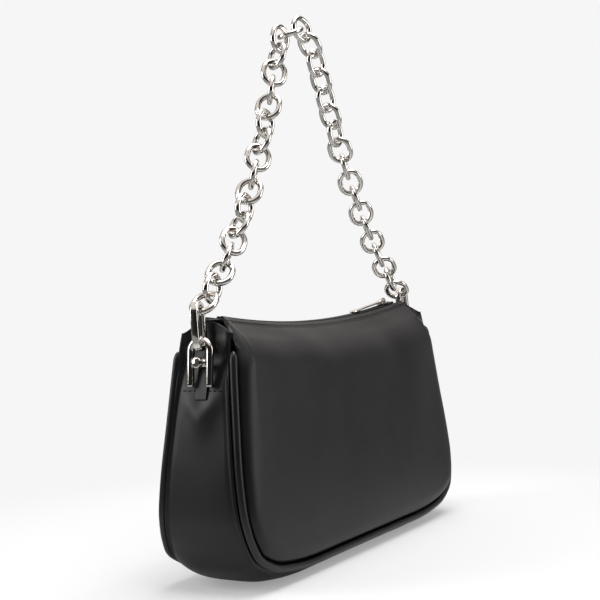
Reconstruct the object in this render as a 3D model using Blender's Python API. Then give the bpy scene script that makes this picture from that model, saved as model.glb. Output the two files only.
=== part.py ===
"""A small leather shoulder bag with a chain strap, modelled piece by piece.

Metres, +Z up. X runs along the bag, the plain front panel faces -Y, and the
origin is on the floor under the middle of the bag.
"""
import math

import bpy
from mathutils import Matrix, Vector

# Clearances and sheet thicknesses.
GAP = 0.0003
LEATHER = 0.0016
FABRIC = 0.0006
TAPE = 0.0008

# Seam between the panels and the gusset, seen from the front.
SEAM_HALF_LENGTH = 0.1418
SEAM_BOTTOM = 0.0061
SEAM_TOP = 0.1505
# Shares of the half length and of the height, from the middle of the base up to the top corner.
SEAM_SHARES = (
    (0.0, 0.0),
    (0.3, 0.0),
    (0.54, 0.0),
    (0.709, 0.014),
    (0.824, 0.037),
    (0.924, 0.089),
    (0.966, 0.152),
    (0.989, 0.221),
    (1.0, 0.304),
    (0.993, 0.453),
    (0.970, 0.623),
    (0.937, 0.851),
    (0.922, 0.931),
    (0.906, 1.0),
)
SEAM_CORNER_INDEX = 5
SEAM_STEPS = 8
SEAM_PROBE_SHARE = 0.002
BORDER_STEPS = 160
TOP_BORDER_STEPS = 40

# Half depth of the bag at the seams: it narrows from the floor to the top.
DEPTH_HEIGHT = 0.160
FLOOR_HALF_DEPTH = 0.0315
TOP_HALF_DEPTH = 0.0153
DEPTH_BOW = -0.0010

# Piping, and the plain seam above it.
PIPING_RADIUS = 0.0023
PIPING_INSET = 0.0018
PIPING_STEPS = 60
PIPING_STOP = 0.0099
PIPING_TOP = SEAM_TOP - PIPING_STOP
PANEL_INSET = 0.0052
PANEL_STEP = 0.0030
PLAIN_SEAM_INSET = 0.0028
PLAIN_SEAM_STEP = 0.0020
SEAM_CHANGE = 0.006

# Front and back panels.
PANEL_BULGE = 0.0042
EDGE_ROLL = 0.0055
EDGE_ROLL_WIDTH = 0.0110
EDGE_ROLL_POWER = 3.0
LEFT_ROLL = 0.0042
ROLL_CHANGE_START = -0.115
ROLL_CHANGE_LENGTH = 0.130
SHOULDER_START_SHARE = 0.80
SHOULDER_POWER = 1.8
SWELL_SIDE_POWER = 3.2
SWELL_BASE_POWER = 4.0
SWELL_EDGE_POWER = 0.7
TOP_EDGE_Y = 0.0045
ZIP_END_Y = 0.0060
PANEL_COLUMNS = 24
PANEL_ROWS = 16
PANEL_PROBE_SHARE = 0.004

# The zip lies along a circular arc that dips in the middle.
ZIP_HALF_LENGTH = 0.1180
ZIP_DIP = 0.0087
ZIP_MIDDLE_HEIGHT = 0.1504
ZIP_RADIUS = (ZIP_HALF_LENGTH ** 2 + ZIP_DIP ** 2) / (2 * ZIP_DIP)
ZIP_CENTRE_HEIGHT = ZIP_MIDDLE_HEIGHT + ZIP_RADIUS

# Gusset: one strip under the bag and up both ends.
GUSSET_SAG = 0.0080
GUSSET_SIDE_BULGE = 0.0015
GUSSET_BULGE_HEIGHT = 0.055
GUSSET_BULGE_SPREAD = 0.030
GUSSET_DENT = 0.0042
GUSSET_DENT_DROP = 0.0085
GUSSET_DENT_HEIGHT = SEAM_TOP - GUSSET_DENT_DROP
GUSSET_DENT_SPREAD = 0.020
GUSSET_DENT_POWER = 8
HEM_RISE = 0.0050
HEM_SHARE = 0.0001
GUSSET_ROWS = 38
GUSSET_CROWDING_SHARE = 0.72
GUSSET_COLUMNS = 8

# Base board and lining.
BOARD_HALF_LENGTH = 0.082
BOARD_HALF_DEPTH = 0.0165
BOARD_THICKNESS = 0.0016
BOARD_CORNER = 0.010
LINING_FLOOR_HALF_LENGTH = 0.0935
LINING_FLOOR_HALF_DEPTH = 0.0210
LINING_END_SHARE = 0.035
LINING_TOP_SHARE = 0.950
LINING_BOTTOM_SHARE = 0.045

# Zip tapes and coils, measured from the middle line and from the top edges.
TAPE_INNER_Y = 0.0006
TAPE_DROP = 0.0012
TAPE_DEPTH = LEATHER + 2 * GAP
TAPE_DEPTH_SHARE = 0.960
COIL_INNER_Y = 0.0005
COIL_OUTER_Y = 0.0027
COIL_TOP = 0.0012
COIL_STEPS = 20
END_TAB_LENGTH = 0.0075
END_TAB_HALF_WIDTH = 0.0042
TAPE_END_MARGIN = 0.0050

# Slider and pull.
SLIDER_X = 0.100
SLIDER_LENGTH = 0.0110
SLIDER_HALF_WIDTH = 0.0036
SLIDER_BOTTOM_HALF_WIDTH = 0.0021
SLIDER_PLATE = 0.0009
SLIDER_POST_HALF = 0.0002
SLIDER_TAPER_SHARE = 0.62
BRIDGE_LENGTH = 0.0064
BRIDGE_HALF_WIDTH = 0.0009
BRIDGE_RISE = 0.0034
BRIDGE_BAR = 0.0009
PULL_LENGTH = 0.0490
PULL_HALF_WIDTH = 0.0029
PULL_NECK_HALF_WIDTH = 0.0019
PULL_THICKNESS = 0.0012
PULL_WAIST_SHARE = 0.6

# Arches on the bag's ends, in a plane that leans with the gusset.
ARCH_RADIUS = 0.00225
ARCH_HALF_SPAN = 0.00665
ARCH_HINGE_DROP = 0.0104
ARCH_HINGE_HEIGHT = SEAM_TOP - ARCH_HINGE_DROP
ARCH_LEG = 0.0206
ARCH_CROWN_X = 0.1334
ARCH_LEAN_DEGREES = 6.2
CROSSBAR_DROP = 0.0066
CROSSBAR_HALF_HEIGHT = 0.0024
CROSSBAR_HALF_THICKNESS = 0.0012
STUD_SHANK_RADIUS = 0.0011
STUD_HEAD_RADIUS = 0.0034
STUD_HEAD_LENGTH = 0.0034
STUD_WAIST_SHARE = 0.80
STUD_FLANGE_RADIUS = 0.0030
STUD_FLANGE = 0.0010
STUD_HOLE_RADIUS = STUD_SHANK_RADIUS + GAP
TAB_HALF_WIDTH = 0.0040
TAB_BELOW = 0.0215
TAB_ABOVE = 0.0030
TAB_THICKNESS = 0.0012

# Connector rings between the arches and the chain.
RING_HALF_WIDTH = 0.0070
RING_BAR = 0.0029
RING_DEPTH = 0.0043
RING_LENGTH = 0.0290
STRAP_FOOT_Y = 0.0010
RING_SETTLE = 0.0011
RING_OFFSET = 0.0012
RING_CORNER = 0.0006
LEFT_RING_TURN_DEGREES = 13.0

# Chain strap: one curve of links hung from its middle.
LINK_COUNT = 36
LINK_LENGTH = 0.0203
LINK_WIDTH = 0.0180
LINK_WIRE = 0.0036
CATENARY_SIZE = 0.12152
CATENARY_REACH = 0.21608
CATENARY_SINK = 0.12874
CATENARY_LIFT = ARCH_HINGE_HEIGHT - CATENARY_SINK
APEX_RISE = 0.2074
APEX_HEIGHT = ARCH_HINGE_HEIGHT + APEX_RISE
APEX_Y = 0.0055
STRAND_TWIST = 0.0033
LINK_TURN_DEGREES = 108.0
LINK_TURN_START_DEGREES = 126.0
RIGHT_TURNS_DEGREES = (44.0, 46.0, 46.0, 44.0, 36.0, 22.0, 8.0, 0.0,
                       0.0, 0.0, 0.0, 4.0, 9.0, 14.0, 20.0, 25.0)
FIRST_TURN_DEGREES = 15.0
VIEW_SHARES = (0.859, 0.511, -0.016)
# At the top the strap turns sharply: two links lie flat in its plane, and their neighbours swivel in them.
FLAT_LINKS = (17, 19)
RIGHT_TOP_SLOPE_DEGREES = 20.0
TOP_TURNS_DEGREES = (50.0, 110.0, 155.0, 45.0)


def clear_scene():
    """Remove every object that the scene starts with."""
    for old in list(bpy.data.objects):
        bpy.data.objects.remove(old, do_unlink=True)


def make_material(name, colour, roughness, metallic=0.0):
    """Return a Principled material of one colour."""
    material = bpy.data.materials.new(name)
    material.use_nodes = True
    shader = material.node_tree.nodes["Principled BSDF"]
    shader.inputs["Base Color"].default_value = (*colour, 1.0)
    shader.inputs["Roughness"].default_value = roughness
    shader.inputs["Metallic"].default_value = metallic
    return material


def make_object(name, points, faces, finish, parent=None, smooth_degrees=40.0):
    """Make one object from world points, with its origin on its parent's."""
    origin = parent.matrix_world.translation if parent else Vector((0.0, 0.0, 0.0))
    mesh = bpy.data.meshes.new(name)
    mesh.from_pydata([Vector(point) - origin for point in points], [], faces)
    mesh.shade_smooth()
    mesh.set_sharp_from_angle(angle=math.radians(smooth_degrees))
    mesh.materials.append(make_material(name, *finish))
    made = bpy.data.objects.new(name, mesh)
    bpy.context.collection.objects.link(made)
    if parent:
        made.parent = parent
    return made


def make_pivot(name, place):
    """Make an empty on a joint's axis."""
    pivot = bpy.data.objects.new(name, None)
    bpy.context.collection.objects.link(pivot)
    pivot.location = place
    bpy.context.view_layer.update()
    return pivot


def ring_faces(rings, sides, closed):
    """Faces of a tube of rings: capped at its ends, or closed on itself."""
    faces = []
    for i in range(rings if closed else rings - 1):
        here = i * sides
        there = (i + 1) % rings * sides
        for j in range(sides):
            k = (j + 1) % sides
            faces.append((here + j, here + k, there + k, there + j))
    if not closed:
        faces.append(tuple(reversed(range(sides))))
        faces.append(tuple(range((rings - 1) * sides, rings * sides)))
    return faces


def sweep(path, section, up, closed=False):
    """Carry a section of (side, up) offsets along a path; returns points and faces."""
    points = []
    count = len(path)
    for i, place in enumerate(path):
        ahead = path[(i + 1) % count] if closed or i < count - 1 else place
        behind = path[i - 1] if closed or i > 0 else place
        along = (ahead - behind).normalized()
        rise = up(i) if callable(up) else up
        rise = (rise - along * rise.dot(along)).normalized()
        side = rise.cross(along)
        points.extend(place + side * s + rise * r for s, r in section)
    return points, ring_faces(count, len(section), closed)


def round_section(radius, sides):
    """A circle of offsets around the sweep."""
    turns = (2 * math.pi * (i + 0.5) / sides for i in range(sides))
    return [(radius * math.cos(turn), radius * math.sin(turn)) for turn in turns]


def block(corner, opposite):
    """Points and faces of a box between two corners."""
    spans = list(zip(corner, opposite))
    points = [Vector((x, y, z)) for z in spans[2] for y in spans[1] for x in spans[0]]
    faces = [(0, 2, 3, 1), (4, 5, 7, 6), (0, 1, 5, 4), (2, 6, 7, 3), (0, 4, 6, 2), (1, 3, 7, 5)]
    return points, faces


def sheet(rows, thickness_rows):
    """Close a grid of outer rows and a grid of inner rows into one sheet."""
    count = len(rows)
    width = len(rows[0])
    size = count * width
    points = [point for row in rows for point in row]
    points += [point for row in thickness_rows for point in row]
    faces = []
    for i in range(count - 1):
        for j in range(width - 1):
            a = i * width + j
            quad = (a, a + 1, a + width + 1, a + width)
            faces.append(quad)
            faces.append(tuple(index + size for index in reversed(quad)))
    edge = [j for j in range(width)]
    edge += [i * width + width - 1 for i in range(1, count)]
    edge += [(count - 1) * width + j for j in range(width - 2, -1, -1)]
    edge += [i * width for i in range(count - 2, 0, -1)]
    for here, there in zip(edge, edge[1:] + edge[:1]):
        faces.append((there, here, here + size, there + size))
    return points, faces


def add_boolean(target, cutter, operation):
    """Join a cutter to an object, or cut it away, and hide the cutter."""
    change = target.modifiers.new(operation.lower(), "BOOLEAN")
    change.operation = operation
    change.object = cutter
    cutter.hide_render = True
    cutter.display_type = "WIRE"


def catmull(points, steps):
    """Points of a smooth curve through the given points."""
    padded = [2 * points[0] - points[1], *points, 2 * points[-1] - points[-2]]
    curve = []
    for a, b, c, d in zip(padded, padded[1:], padded[2:], padded[3:]):
        for step in range(steps):
            t = step / steps
            curve.append(0.5 * (2 * b + (c - a) * t + (2 * a - 5 * b + 4 * c - d) * t * t
                                + (3 * b - a - 3 * c + d) * t ** 3))
    curve.append(points[-1])
    return curve


def resample(curve, share):
    """The point at a share of a curve's length."""
    lengths = [(b - a).length for a, b in zip(curve, curve[1:])]
    left = min(max(share, 0.0), 1.0) * sum(lengths)
    for start, end, length in zip(curve, curve[1:], lengths):
        if left <= length:
            return start.lerp(end, left / length)
        left -= length
    return curve[-1].copy()


def seam_points():
    """The seam's own points from the middle of the base to the right top corner."""
    height = SEAM_TOP - SEAM_BOTTOM
    return [Vector((x * SEAM_HALF_LENGTH, 0.0, SEAM_BOTTOM + z * height)) for x, z in SEAM_SHARES]


def mirrored(point):
    """The same place on the other end of the bag."""
    return Vector((-point.x, point.y, point.z))


def half_depth(height):
    """Half the distance between the two seams at a height."""
    share = height / DEPTH_HEIGHT
    straight = FLOOR_HALF_DEPTH + (TOP_HALF_DEPTH - FLOOR_HALF_DEPTH) * share
    return straight + 4 * DEPTH_BOW * share * (1 - share)


def plain_share(height):
    """0 beside the piping and 1 at the plain seam above it."""
    share = (height - PIPING_TOP) / SEAM_CHANGE
    return min(max(share, 0.0), 1.0)


RIGHT_SEAM = catmull(seam_points(), SEAM_STEPS)
WHOLE_SEAM = [mirrored(point) for point in reversed(RIGHT_SEAM)] + RIGHT_SEAM[1:]
CORNER_START = RIGHT_SEAM[SEAM_CORNER_INDEX * SEAM_STEPS]


def seam_outward(share):
    """The direction in the XZ plane that points out of the bag at a share of the seam."""
    step = SEAM_PROBE_SHARE
    along = resample(WHOLE_SEAM, share + step) - resample(WHOLE_SEAM, share - step)
    return Vector((along.z, 0.0, -along.x)).normalized()


def zip_edge_height(x):
    """Height of the panels' top edges along the zip's arc."""
    return ZIP_CENTRE_HEIGHT - math.sqrt(ZIP_RADIUS ** 2 - x * x)


def panel_border():
    """The border of the front panel as four curves: base, right, top and left."""
    sides = []
    for i in range(BORDER_STEPS + 1):
        share = i / BORDER_STEPS
        seam = resample(WHOLE_SEAM, share)
        plain = plain_share(seam.z)
        inset = PANEL_INSET + (PLAIN_SEAM_INSET - PANEL_INSET) * plain
        step = PANEL_STEP + (PLAIN_SEAM_STEP - PANEL_STEP) * plain
        place = seam - seam_outward(share) * inset
        sides.append(Vector((place.x, -half_depth(seam.z) - step, place.z)))
    corner = mirrored(CORNER_START)
    gaps = [(resample(WHOLE_SEAM, i / BORDER_STEPS) - corner).length for i in range(BORDER_STEPS + 1)]
    near = gaps.index(min(gaps))
    base = sides[near:BORDER_STEPS + 1 - near]
    right = sides[BORDER_STEPS - near:]
    left = list(reversed(sides[:near + 1]))
    top = []
    for i in range(TOP_BORDER_STEPS + 1):
        x = ZIP_HALF_LENGTH * (2 * i / TOP_BORDER_STEPS - 1)
        top.append(Vector((x, -TOP_EDGE_Y, zip_edge_height(x))))
    top[0].y = -ZIP_END_Y
    top[-1].y = -ZIP_END_Y
    return base, right, [left[-1], *top, right[-1]], left


BASE_BORDER, RIGHT_BORDER, TOP_BORDER, LEFT_BORDER = panel_border()
ROLLED_BORDER = [Vector((point.x, 0.0, point.z))
                 for point in [*reversed(LEFT_BORDER), *BASE_BORDER[1:-1], *RIGHT_BORDER]]


def roll_height(x):
    """How far the puffed edge stands out; the leather lies flatter toward the left end."""
    share = max(0.0, min(1.0, (x - ROLL_CHANGE_START) / ROLL_CHANGE_LENGTH))
    return LEFT_ROLL + (EDGE_ROLL - LEFT_ROLL) * share * share * (3 - 2 * share)


def edge_roll(place):
    """How far the panel's puffed edge stands out at a point, seen from the front."""
    near = min((closest_on_line(place, here, there) - place).length
               for here, there in zip(ROLLED_BORDER, ROLLED_BORDER[1:]))
    share = min(near / EDGE_ROLL_WIDTH, 1.0)
    return roll_height(place.x) * math.sqrt(1 - (1 - share) ** EDGE_ROLL_POWER)


def closest_on_line(place, start, end):
    """The nearest point to a place on a straight stretch."""
    along = end - start
    share = (place - start).dot(along) / along.length_squared
    return start.lerp(end, min(max(share, 0.0), 1.0))


def panel_place(u, v, slack=False):
    """A point of the front panel's outer face; u runs along X, v from the base to the top.

    A slack face has a gentle swell in place of the panel's puffed edge.
    """
    base = resample(BASE_BORDER, u)
    top = resample(TOP_BORDER, u)
    left = resample(LEFT_BORDER, v)
    right = resample(RIGHT_BORDER, v)
    place = base.lerp(top, v) + left.lerp(right, u)
    place -= BASE_BORDER[0].lerp(BASE_BORDER[-1], u).lerp(LEFT_BORDER[-1].lerp(RIGHT_BORDER[-1], u), v)
    inside = 1 - abs(2 * u - 1) ** SWELL_SIDE_POWER
    swell = (inside * (1 - (1 - v) ** SWELL_BASE_POWER)) ** SWELL_EDGE_POWER
    side_depth = -left.lerp(right, u).y
    puff = EDGE_ROLL * swell if slack else edge_roll(Vector((place.x, 0.0, place.z)))
    depth = side_depth + PANEL_BULGE * swell + puff
    shoulder = max((v - SHOULDER_START_SHARE) / (1 - SHOULDER_START_SHARE), 0.0) ** SHOULDER_POWER
    depth = depth * (1 - shoulder) - top.y * shoulder
    place.y = -depth
    return place


def panel_point(u, v, depth=0.0, slack=False):
    """A point at a depth under the front panel's outer face."""
    step = PANEL_PROBE_SHARE
    u_low, u_high = max(u - step, 0.0), min(u + step, 1.0)
    v_low, v_high = max(v - step, 0.0), min(v + step, 1.0)
    along = panel_place(u_high, v, slack) - panel_place(u_low, v, slack)
    rise = panel_place(u, v_high, slack) - panel_place(u, v_low, slack)
    return panel_place(u, v, slack) - along.cross(rise).normalized() * depth


def flipped(points):
    """The same points on the other side of the bag."""
    return [Vector((point.x, -point.y, point.z)) for point in points]


def side_shape(shape, back):
    """A front shape as it is, or turned into the back one."""
    points, faces = shape
    if not back:
        return points, faces
    return flipped(points), [tuple(reversed(face)) for face in faces]


def crowded_share(share):
    """A share moved towards the nearer end, so that steps are short at both ends."""
    return (1 - math.cos(math.pi * share)) / 2


def add_panels(finish):
    """The front and back leather panels, drawn in at the top to the zip."""
    outer = []
    inner = []
    for i in range(PANEL_ROWS + 1):
        v = crowded_share(i / PANEL_ROWS)
        shares = [crowded_share(j / PANEL_COLUMNS) for j in range(PANEL_COLUMNS + 1)]
        outer.append([panel_point(u, v) for u in shares])
        inner.append([panel_point(u, v, LEATHER) for u in shares])
    shape = sheet(outer, inner)
    make_object("front_panel", *side_shape(shape, False), finish)
    make_object("back_panel", *side_shape(shape, True), finish)


def gusset_point(share, side, depth=0.0):
    """A point of the gusset; share runs along the seam and side from -1 to 1 across it."""
    seam = resample(WHOLE_SEAM, share)
    out = seam_outward(share)
    down = max(-out.z, 0.0)
    bulge = math.exp(-((seam.z - GUSSET_BULGE_HEIGHT) / GUSSET_BULGE_SPREAD) ** 2)
    dent = math.exp(-((seam.z - GUSSET_DENT_HEIGHT) / GUSSET_DENT_SPREAD) ** 2)
    offset = GUSSET_SAG * down * down * (1 - side ** 4)
    offset += abs(out.x) * GUSSET_SIDE_BULGE * bulge * (1 - side * side)
    offset -= abs(out.x) * GUSSET_DENT * dent * (1 - side ** GUSSET_DENT_POWER)
    place = seam + out * (offset - depth)
    place.y = side * half_depth(seam.z)
    place.z = max(place.z, depth)
    if min(share, 1 - share) < HEM_SHARE:
        place.z += HEM_RISE * (1 - side * side)
    return place


def add_gusset(finish):
    """The leather strip that makes the bag's base and both ends."""
    outer = []
    inner = []
    for i in range(GUSSET_ROWS + 1):
        sides = [2 * j / GUSSET_COLUMNS - 1 for j in range(GUSSET_COLUMNS + 1)]
        share = i / GUSSET_ROWS
        share -= GUSSET_CROWDING_SHARE * math.sin(2 * math.pi * share) / (2 * math.pi)
        outer.append([gusset_point(share, side) for side in sides])
        inner.append([gusset_point(share, side, LEATHER) for side in sides])
    return make_object("gusset", *sheet(outer, inner), finish)


def add_piping(finish):
    """A round piping cord in each seam, up to the plain seam at both ends."""
    path = []
    outward = []
    for i in range(PIPING_STEPS + 1):
        share = i / PIPING_STEPS
        seam = resample(WHOLE_SEAM, share)
        if seam.z <= PIPING_TOP:
            place = seam - seam_outward(share) * PIPING_INSET
            place.y = -half_depth(seam.z) - PIPING_RADIUS - GAP
            path.append(place)
            outward.append(seam_outward(share))
    shape = sweep(path, round_section(PIPING_RADIUS, 6), lambda i: outward[i])
    make_object("piping_front", *side_shape(shape, False), finish)
    make_object("piping_back", *side_shape(shape, True), finish)


def zip_shares():
    """Shares of the top border that lie along the zip."""
    corner = (TOP_BORDER[1] - TOP_BORDER[0]).length
    whole = sum((b - a).length for a, b in zip(TOP_BORDER, TOP_BORDER[1:]))
    first = (corner + TAPE_END_MARGIN) / whole
    return [first + (1 - 2 * first) * i / COIL_STEPS for i in range(COIL_STEPS + 1)]


def add_zip(fabric, nylon):
    """Zip tapes sewn under the panels' top edges, each with its row of coil."""
    top = []
    bottom = []
    path = []
    coil_bottom = GAP - TAPE_DROP
    for u in zip_shares():
        edge = panel_point(u, 1.0, TAPE_DEPTH)
        x = edge.x
        height = zip_edge_height(x)
        start = Vector((x, -TAPE_INNER_Y, height - TAPE_DROP))
        top.append([start, edge, panel_point(u, TAPE_DEPTH_SHARE, TAPE_DEPTH)])
        under = TAPE_DEPTH + TAPE
        below = Vector((x, -TAPE_INNER_Y, height - TAPE_DROP - TAPE))
        bottom.append([below, panel_point(u, 1.0, under), panel_point(u, TAPE_DEPTH_SHARE, under)])
        path.append(Vector((x, -(COIL_INNER_Y + COIL_OUTER_Y) / 2, height + (COIL_TOP + coil_bottom) / 2)))
    section = [(s * (COIL_OUTER_Y - COIL_INNER_Y) / 2, r * (COIL_TOP - coil_bottom) / 2)
               for s, r in round_section(1.0, 6)]
    coil = sweep(path, section, Vector((0.0, 0.0, 1.0)))
    tape = sheet(top, bottom)
    for name, back in (("front", False), ("back", True)):
        make_object(f"zip_tape_{name}", *side_shape(tape, back), fabric)
        make_object(f"zip_coil_{name}", *side_shape(coil, back), nylon)


def add_end_tabs(finish):
    """A leather tab across the tapes at each end of the zip."""
    height = zip_edge_height(ZIP_HALF_LENGTH) - TAPE_DROP
    start = ZIP_HALF_LENGTH - TAPE_END_MARGIN + LEATHER
    for side, sign in (("left", -1), ("right", 1)):
        low_x, high_x = sorted((sign * start, sign * (start + END_TAB_LENGTH)))
        tab = block((low_x, -END_TAB_HALF_WIDTH, height - TAPE), (high_x, END_TAB_HALF_WIDTH, height))
        make_object(f"zip_end_tab_{side}", *tab, finish)


def zip_frame(x):
    """The frame of a piece on the zip: its X axis follows the arc."""
    turn = math.asin(x / ZIP_RADIUS)
    along = Vector((math.cos(turn), 0.0, math.sin(turn)))
    return frame_at(Vector((x, 0.0, zip_edge_height(x))), along, Vector((0.0, 1.0, 0.0)))


def frame_at(origin, first, second):
    """A matrix whose X and Y axes are two given directions."""
    third = first.cross(second)
    matrix = Matrix((first, second, third)).transposed().to_4x4()
    matrix.translation = origin
    return matrix


def moved(shape, matrix):
    """A shape carried from a local frame into the world."""
    points, faces = shape
    return [matrix @ Vector(point) for point in points], faces


def prism(outline, low, high):
    """Extrude an (x, y) outline, counter-clockwise, from a low to a high Z."""
    count = len(outline)
    points = [Vector((x, y, z)) for z in (low, high) for x, y in outline]
    faces = [tuple(reversed(range(count))), tuple(range(count, 2 * count))]
    for i in range(count):
        j = (i + 1) % count
        faces.append((i, j, count + j, count + i))
    return points, faces


def holed_plate(outer, hole, low, high):
    """A plate between two Z values with one hole; both outlines have as many points."""
    count = len(outer)
    points = []
    for outline, z in ((outer, low), (outer, high), (hole, high), (hole, low)):
        points.extend(Vector((x, y, z)) for x, y in outline)
    return points, ring_faces(4, count, True)


def add_slider(metal, pivot, pull_pivot):
    """Zip slider: two plates on a thin post between the coils, with a bridge for the pull."""
    frame = zip_frame(SLIDER_X)
    top = COIL_TOP + GAP
    bottom = -TAPE_DROP - TAPE - GAP
    half = SLIDER_LENGTH / 2
    narrow = SLIDER_HALF_WIDTH * SLIDER_TAPER_SHARE
    outline = [
        (-half, -narrow), (half * SLIDER_TAPER_SHARE, -SLIDER_HALF_WIDTH), (half, -narrow),
        (half, narrow), (half * SLIDER_TAPER_SHARE, SLIDER_HALF_WIDTH), (-half, narrow),
    ]
    upper = prism(outline, top, top + SLIDER_PLATE)
    slider = make_object("zip_slider", *moved(upper, frame), metal, pivot)
    inner_half = SLIDER_BOTTOM_HALF_WIDTH
    lower = block((-half, -inner_half, bottom - SLIDER_PLATE), (half, inner_half, bottom))
    post_reach = SLIDER_PLATE / 2
    post_half = half * SLIDER_TAPER_SHARE
    post = block((-post_half, -SLIDER_POST_HALF, bottom - post_reach),
                 (post_half, SLIDER_POST_HALF, top + post_reach))
    deck = top + SLIDER_PLATE
    leg = BRIDGE_LENGTH / 2
    rise = deck + BRIDGE_RISE - BRIDGE_BAR / 2
    path = [Vector((-leg, 0.0, deck - post_reach)), Vector((-leg, 0.0, rise - BRIDGE_BAR)),
            Vector((-leg + BRIDGE_BAR, 0.0, rise)), Vector((leg - BRIDGE_BAR, 0.0, rise)),
            Vector((leg, 0.0, rise - BRIDGE_BAR)), Vector((leg, 0.0, deck - post_reach))]
    half_bar = BRIDGE_BAR / 2
    section = [(-half_bar, -BRIDGE_HALF_WIDTH), (half_bar, -BRIDGE_HALF_WIDTH),
               (half_bar, BRIDGE_HALF_WIDTH), (-half_bar, BRIDGE_HALF_WIDTH)]
    bridge = sweep(path, section, Vector((0.0, 1.0, 0.0)))
    for name, shape in (("lower_plate", lower), ("slider_post", post), ("slider_bridge", bridge)):
        add_boolean(slider, make_object(name, *moved(shape, frame), metal, pivot), "UNION")
    add_pull(metal, frame, pull_pivot)


def pull_pivot_height():
    """Height of the pull's pivot above the zip's top edges."""
    return COIL_TOP + GAP + SLIDER_PLATE + PULL_THICKNESS


def add_pull(metal, frame, pivot):
    """A slender pull with a slot at its root that the slider's bridge stands in."""
    root = PULL_THICKNESS / 2
    slot_start = -root - GAP
    slot_end = -BRIDGE_LENGTH / 2 - BRIDGE_BAR
    slot_half = BRIDGE_HALF_WIDTH + GAP
    tip = -PULL_LENGTH
    round_half = PULL_HALF_WIDTH
    waist = tip * PULL_WAIST_SHARE
    outer = [(root, -round_half), (root, round_half), (slot_end - round_half, round_half),
             (waist, PULL_NECK_HALF_WIDTH), (tip + round_half, round_half),
             (tip, PULL_NECK_HALF_WIDTH), (tip, -PULL_NECK_HALF_WIDTH),
             (tip + round_half, -round_half), (waist, -PULL_NECK_HALF_WIDTH),
             (slot_end - round_half, -round_half)]
    end_side = [(slot_end, slot_half * (1 - 2 * i / 5)) for i in range(6)]
    hole = [(slot_start, -slot_half), (slot_start, slot_half), (slot_end / 2, slot_half),
            *end_side, (slot_end / 2, -slot_half)]
    height = pull_pivot_height()
    shape = holed_plate(outer, hole, height - root, height + root)
    make_object("zip_pull", *moved(shape, frame), metal, pivot)


def add_base_board(finish):
    """A stiff board with round corners on the gusset's base, inside the bag."""
    outline = []
    for quarter in range(4):
        sign_x = 1 if quarter in (0, 3) else -1
        sign_y = 1 if quarter < 2 else -1
        for step in range(5):
            turn = math.pi / 2 * (quarter + step / 4)
            x = sign_x * (BOARD_HALF_LENGTH - BOARD_CORNER) + BOARD_CORNER * math.cos(turn)
            y = sign_y * (BOARD_HALF_DEPTH - BOARD_CORNER) + BOARD_CORNER * math.sin(turn)
            outline.append((x, y))
    low = LEATHER + GAP
    make_object("base_board", *prism(outline, low, low + BOARD_THICKNESS), finish)


def lining_loop(v, depth):
    """A closed loop under both panels at one height share."""
    steps = 10
    shares = [LINING_END_SHARE + (1 - 2 * LINING_END_SHARE) * i / steps for i in range(steps + 1)]
    front = [panel_point(u, v, depth, True) for u in shares]
    return front + list(reversed(flipped(front)))


def lining_floor(loop, height):
    """A loop drawn in to the base board's size at one height."""
    x_share = LINING_FLOOR_HALF_LENGTH / max(point.x for point in loop)
    y_share = LINING_FLOOR_HALF_DEPTH / max(point.y for point in loop)
    return [Vector((point.x * x_share, point.y * y_share, height)) for point in loop]


def leftward(start, end):
    """The level direction to the left of the way from one point to another."""
    return Vector((start.y - end.y, end.x - start.x, 0.0)).normalized()


def drawn_in(loop, inset, lift):
    """A closed loop drawn in by one distance all round in plan, and lifted by another."""
    made = []
    for i, point in enumerate(loop):
        first = leftward(loop[i - 1], point)
        second = leftward(point, loop[(i + 1) % len(loop)])
        shift = (first + second) * (inset / (1 + first.dot(second)))
        made.append(point + shift + Vector((0.0, 0.0, lift)))
    return made


def cut_alike(faces, half):
    """Quads cut in two along the same way on the outer wall and the inner wall behind it."""
    made = []
    for face in faces:
        if len(face) > 4:
            made.append(face)
        elif face[0] < half:
            made += [face[:3], (face[0], face[2], face[3])]
        else:
            made += [(face[0], face[1], face[3]), face[1:]]
    return made


def add_lining(finish):
    """A fabric lining that hangs under the zip tapes and stands on the base board."""
    depth = TAPE_DEPTH + TAPE + GAP
    rows = 6
    span = LINING_TOP_SHARE - LINING_BOTTOM_SHARE
    shares = [LINING_BOTTOM_SHARE + span * i / rows for i in range(rows + 1)]
    outer = [lining_loop(v, depth) for v in shares]
    inner = [drawn_in(loop, FABRIC, 0.0) for loop in reversed(outer)]
    floor = lining_floor(outer[0], LEATHER + GAP + BOARD_THICKNESS + GAP)
    rings = [floor] + outer + inner + [drawn_in(floor, FABRIC, FABRIC)]
    points = [point for ring in rings for point in ring]
    faces = ring_faces(len(rings), len(floor), False)
    make_object("lining", points, cut_alike(faces, len(points) // 2), finish)


def end_frame(sign):
    """Frame of the hardware on one end: X along the bag's depth, Y up the lean, Z out of the bag."""
    lean = math.radians(ARCH_LEAN_DEGREES)
    origin = Vector((sign * (ARCH_CROWN_X + ARCH_HALF_SPAN * math.tan(lean)), 0.0, ARCH_HINGE_HEIGHT))
    up = Vector((-sign * math.sin(lean), 0.0, math.cos(lean)))
    return frame_at(origin, Vector((0.0, sign, 0.0)), up)


def end_seam_share(sign, height):
    """Share of the whole seam at a height on one end."""
    low, high = 0.0, 0.5
    for _ in range(30):
        middle = (low + high) / 2
        if resample(WHOLE_SEAM, middle).z > height:
            low = middle
        else:
            high = middle
    return low if sign < 0 else 1 - low


def lathe(profile, sides):
    """Turn (height, radius) pairs about the local Z axis."""
    points = []
    for height, radius in profile:
        for i in range(sides):
            turn = 2 * math.pi * (i + 0.5) / sides
            points.append(Vector((radius * math.cos(turn), radius * math.sin(turn), height)))
    return points, ring_faces(len(profile), sides, False)


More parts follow.
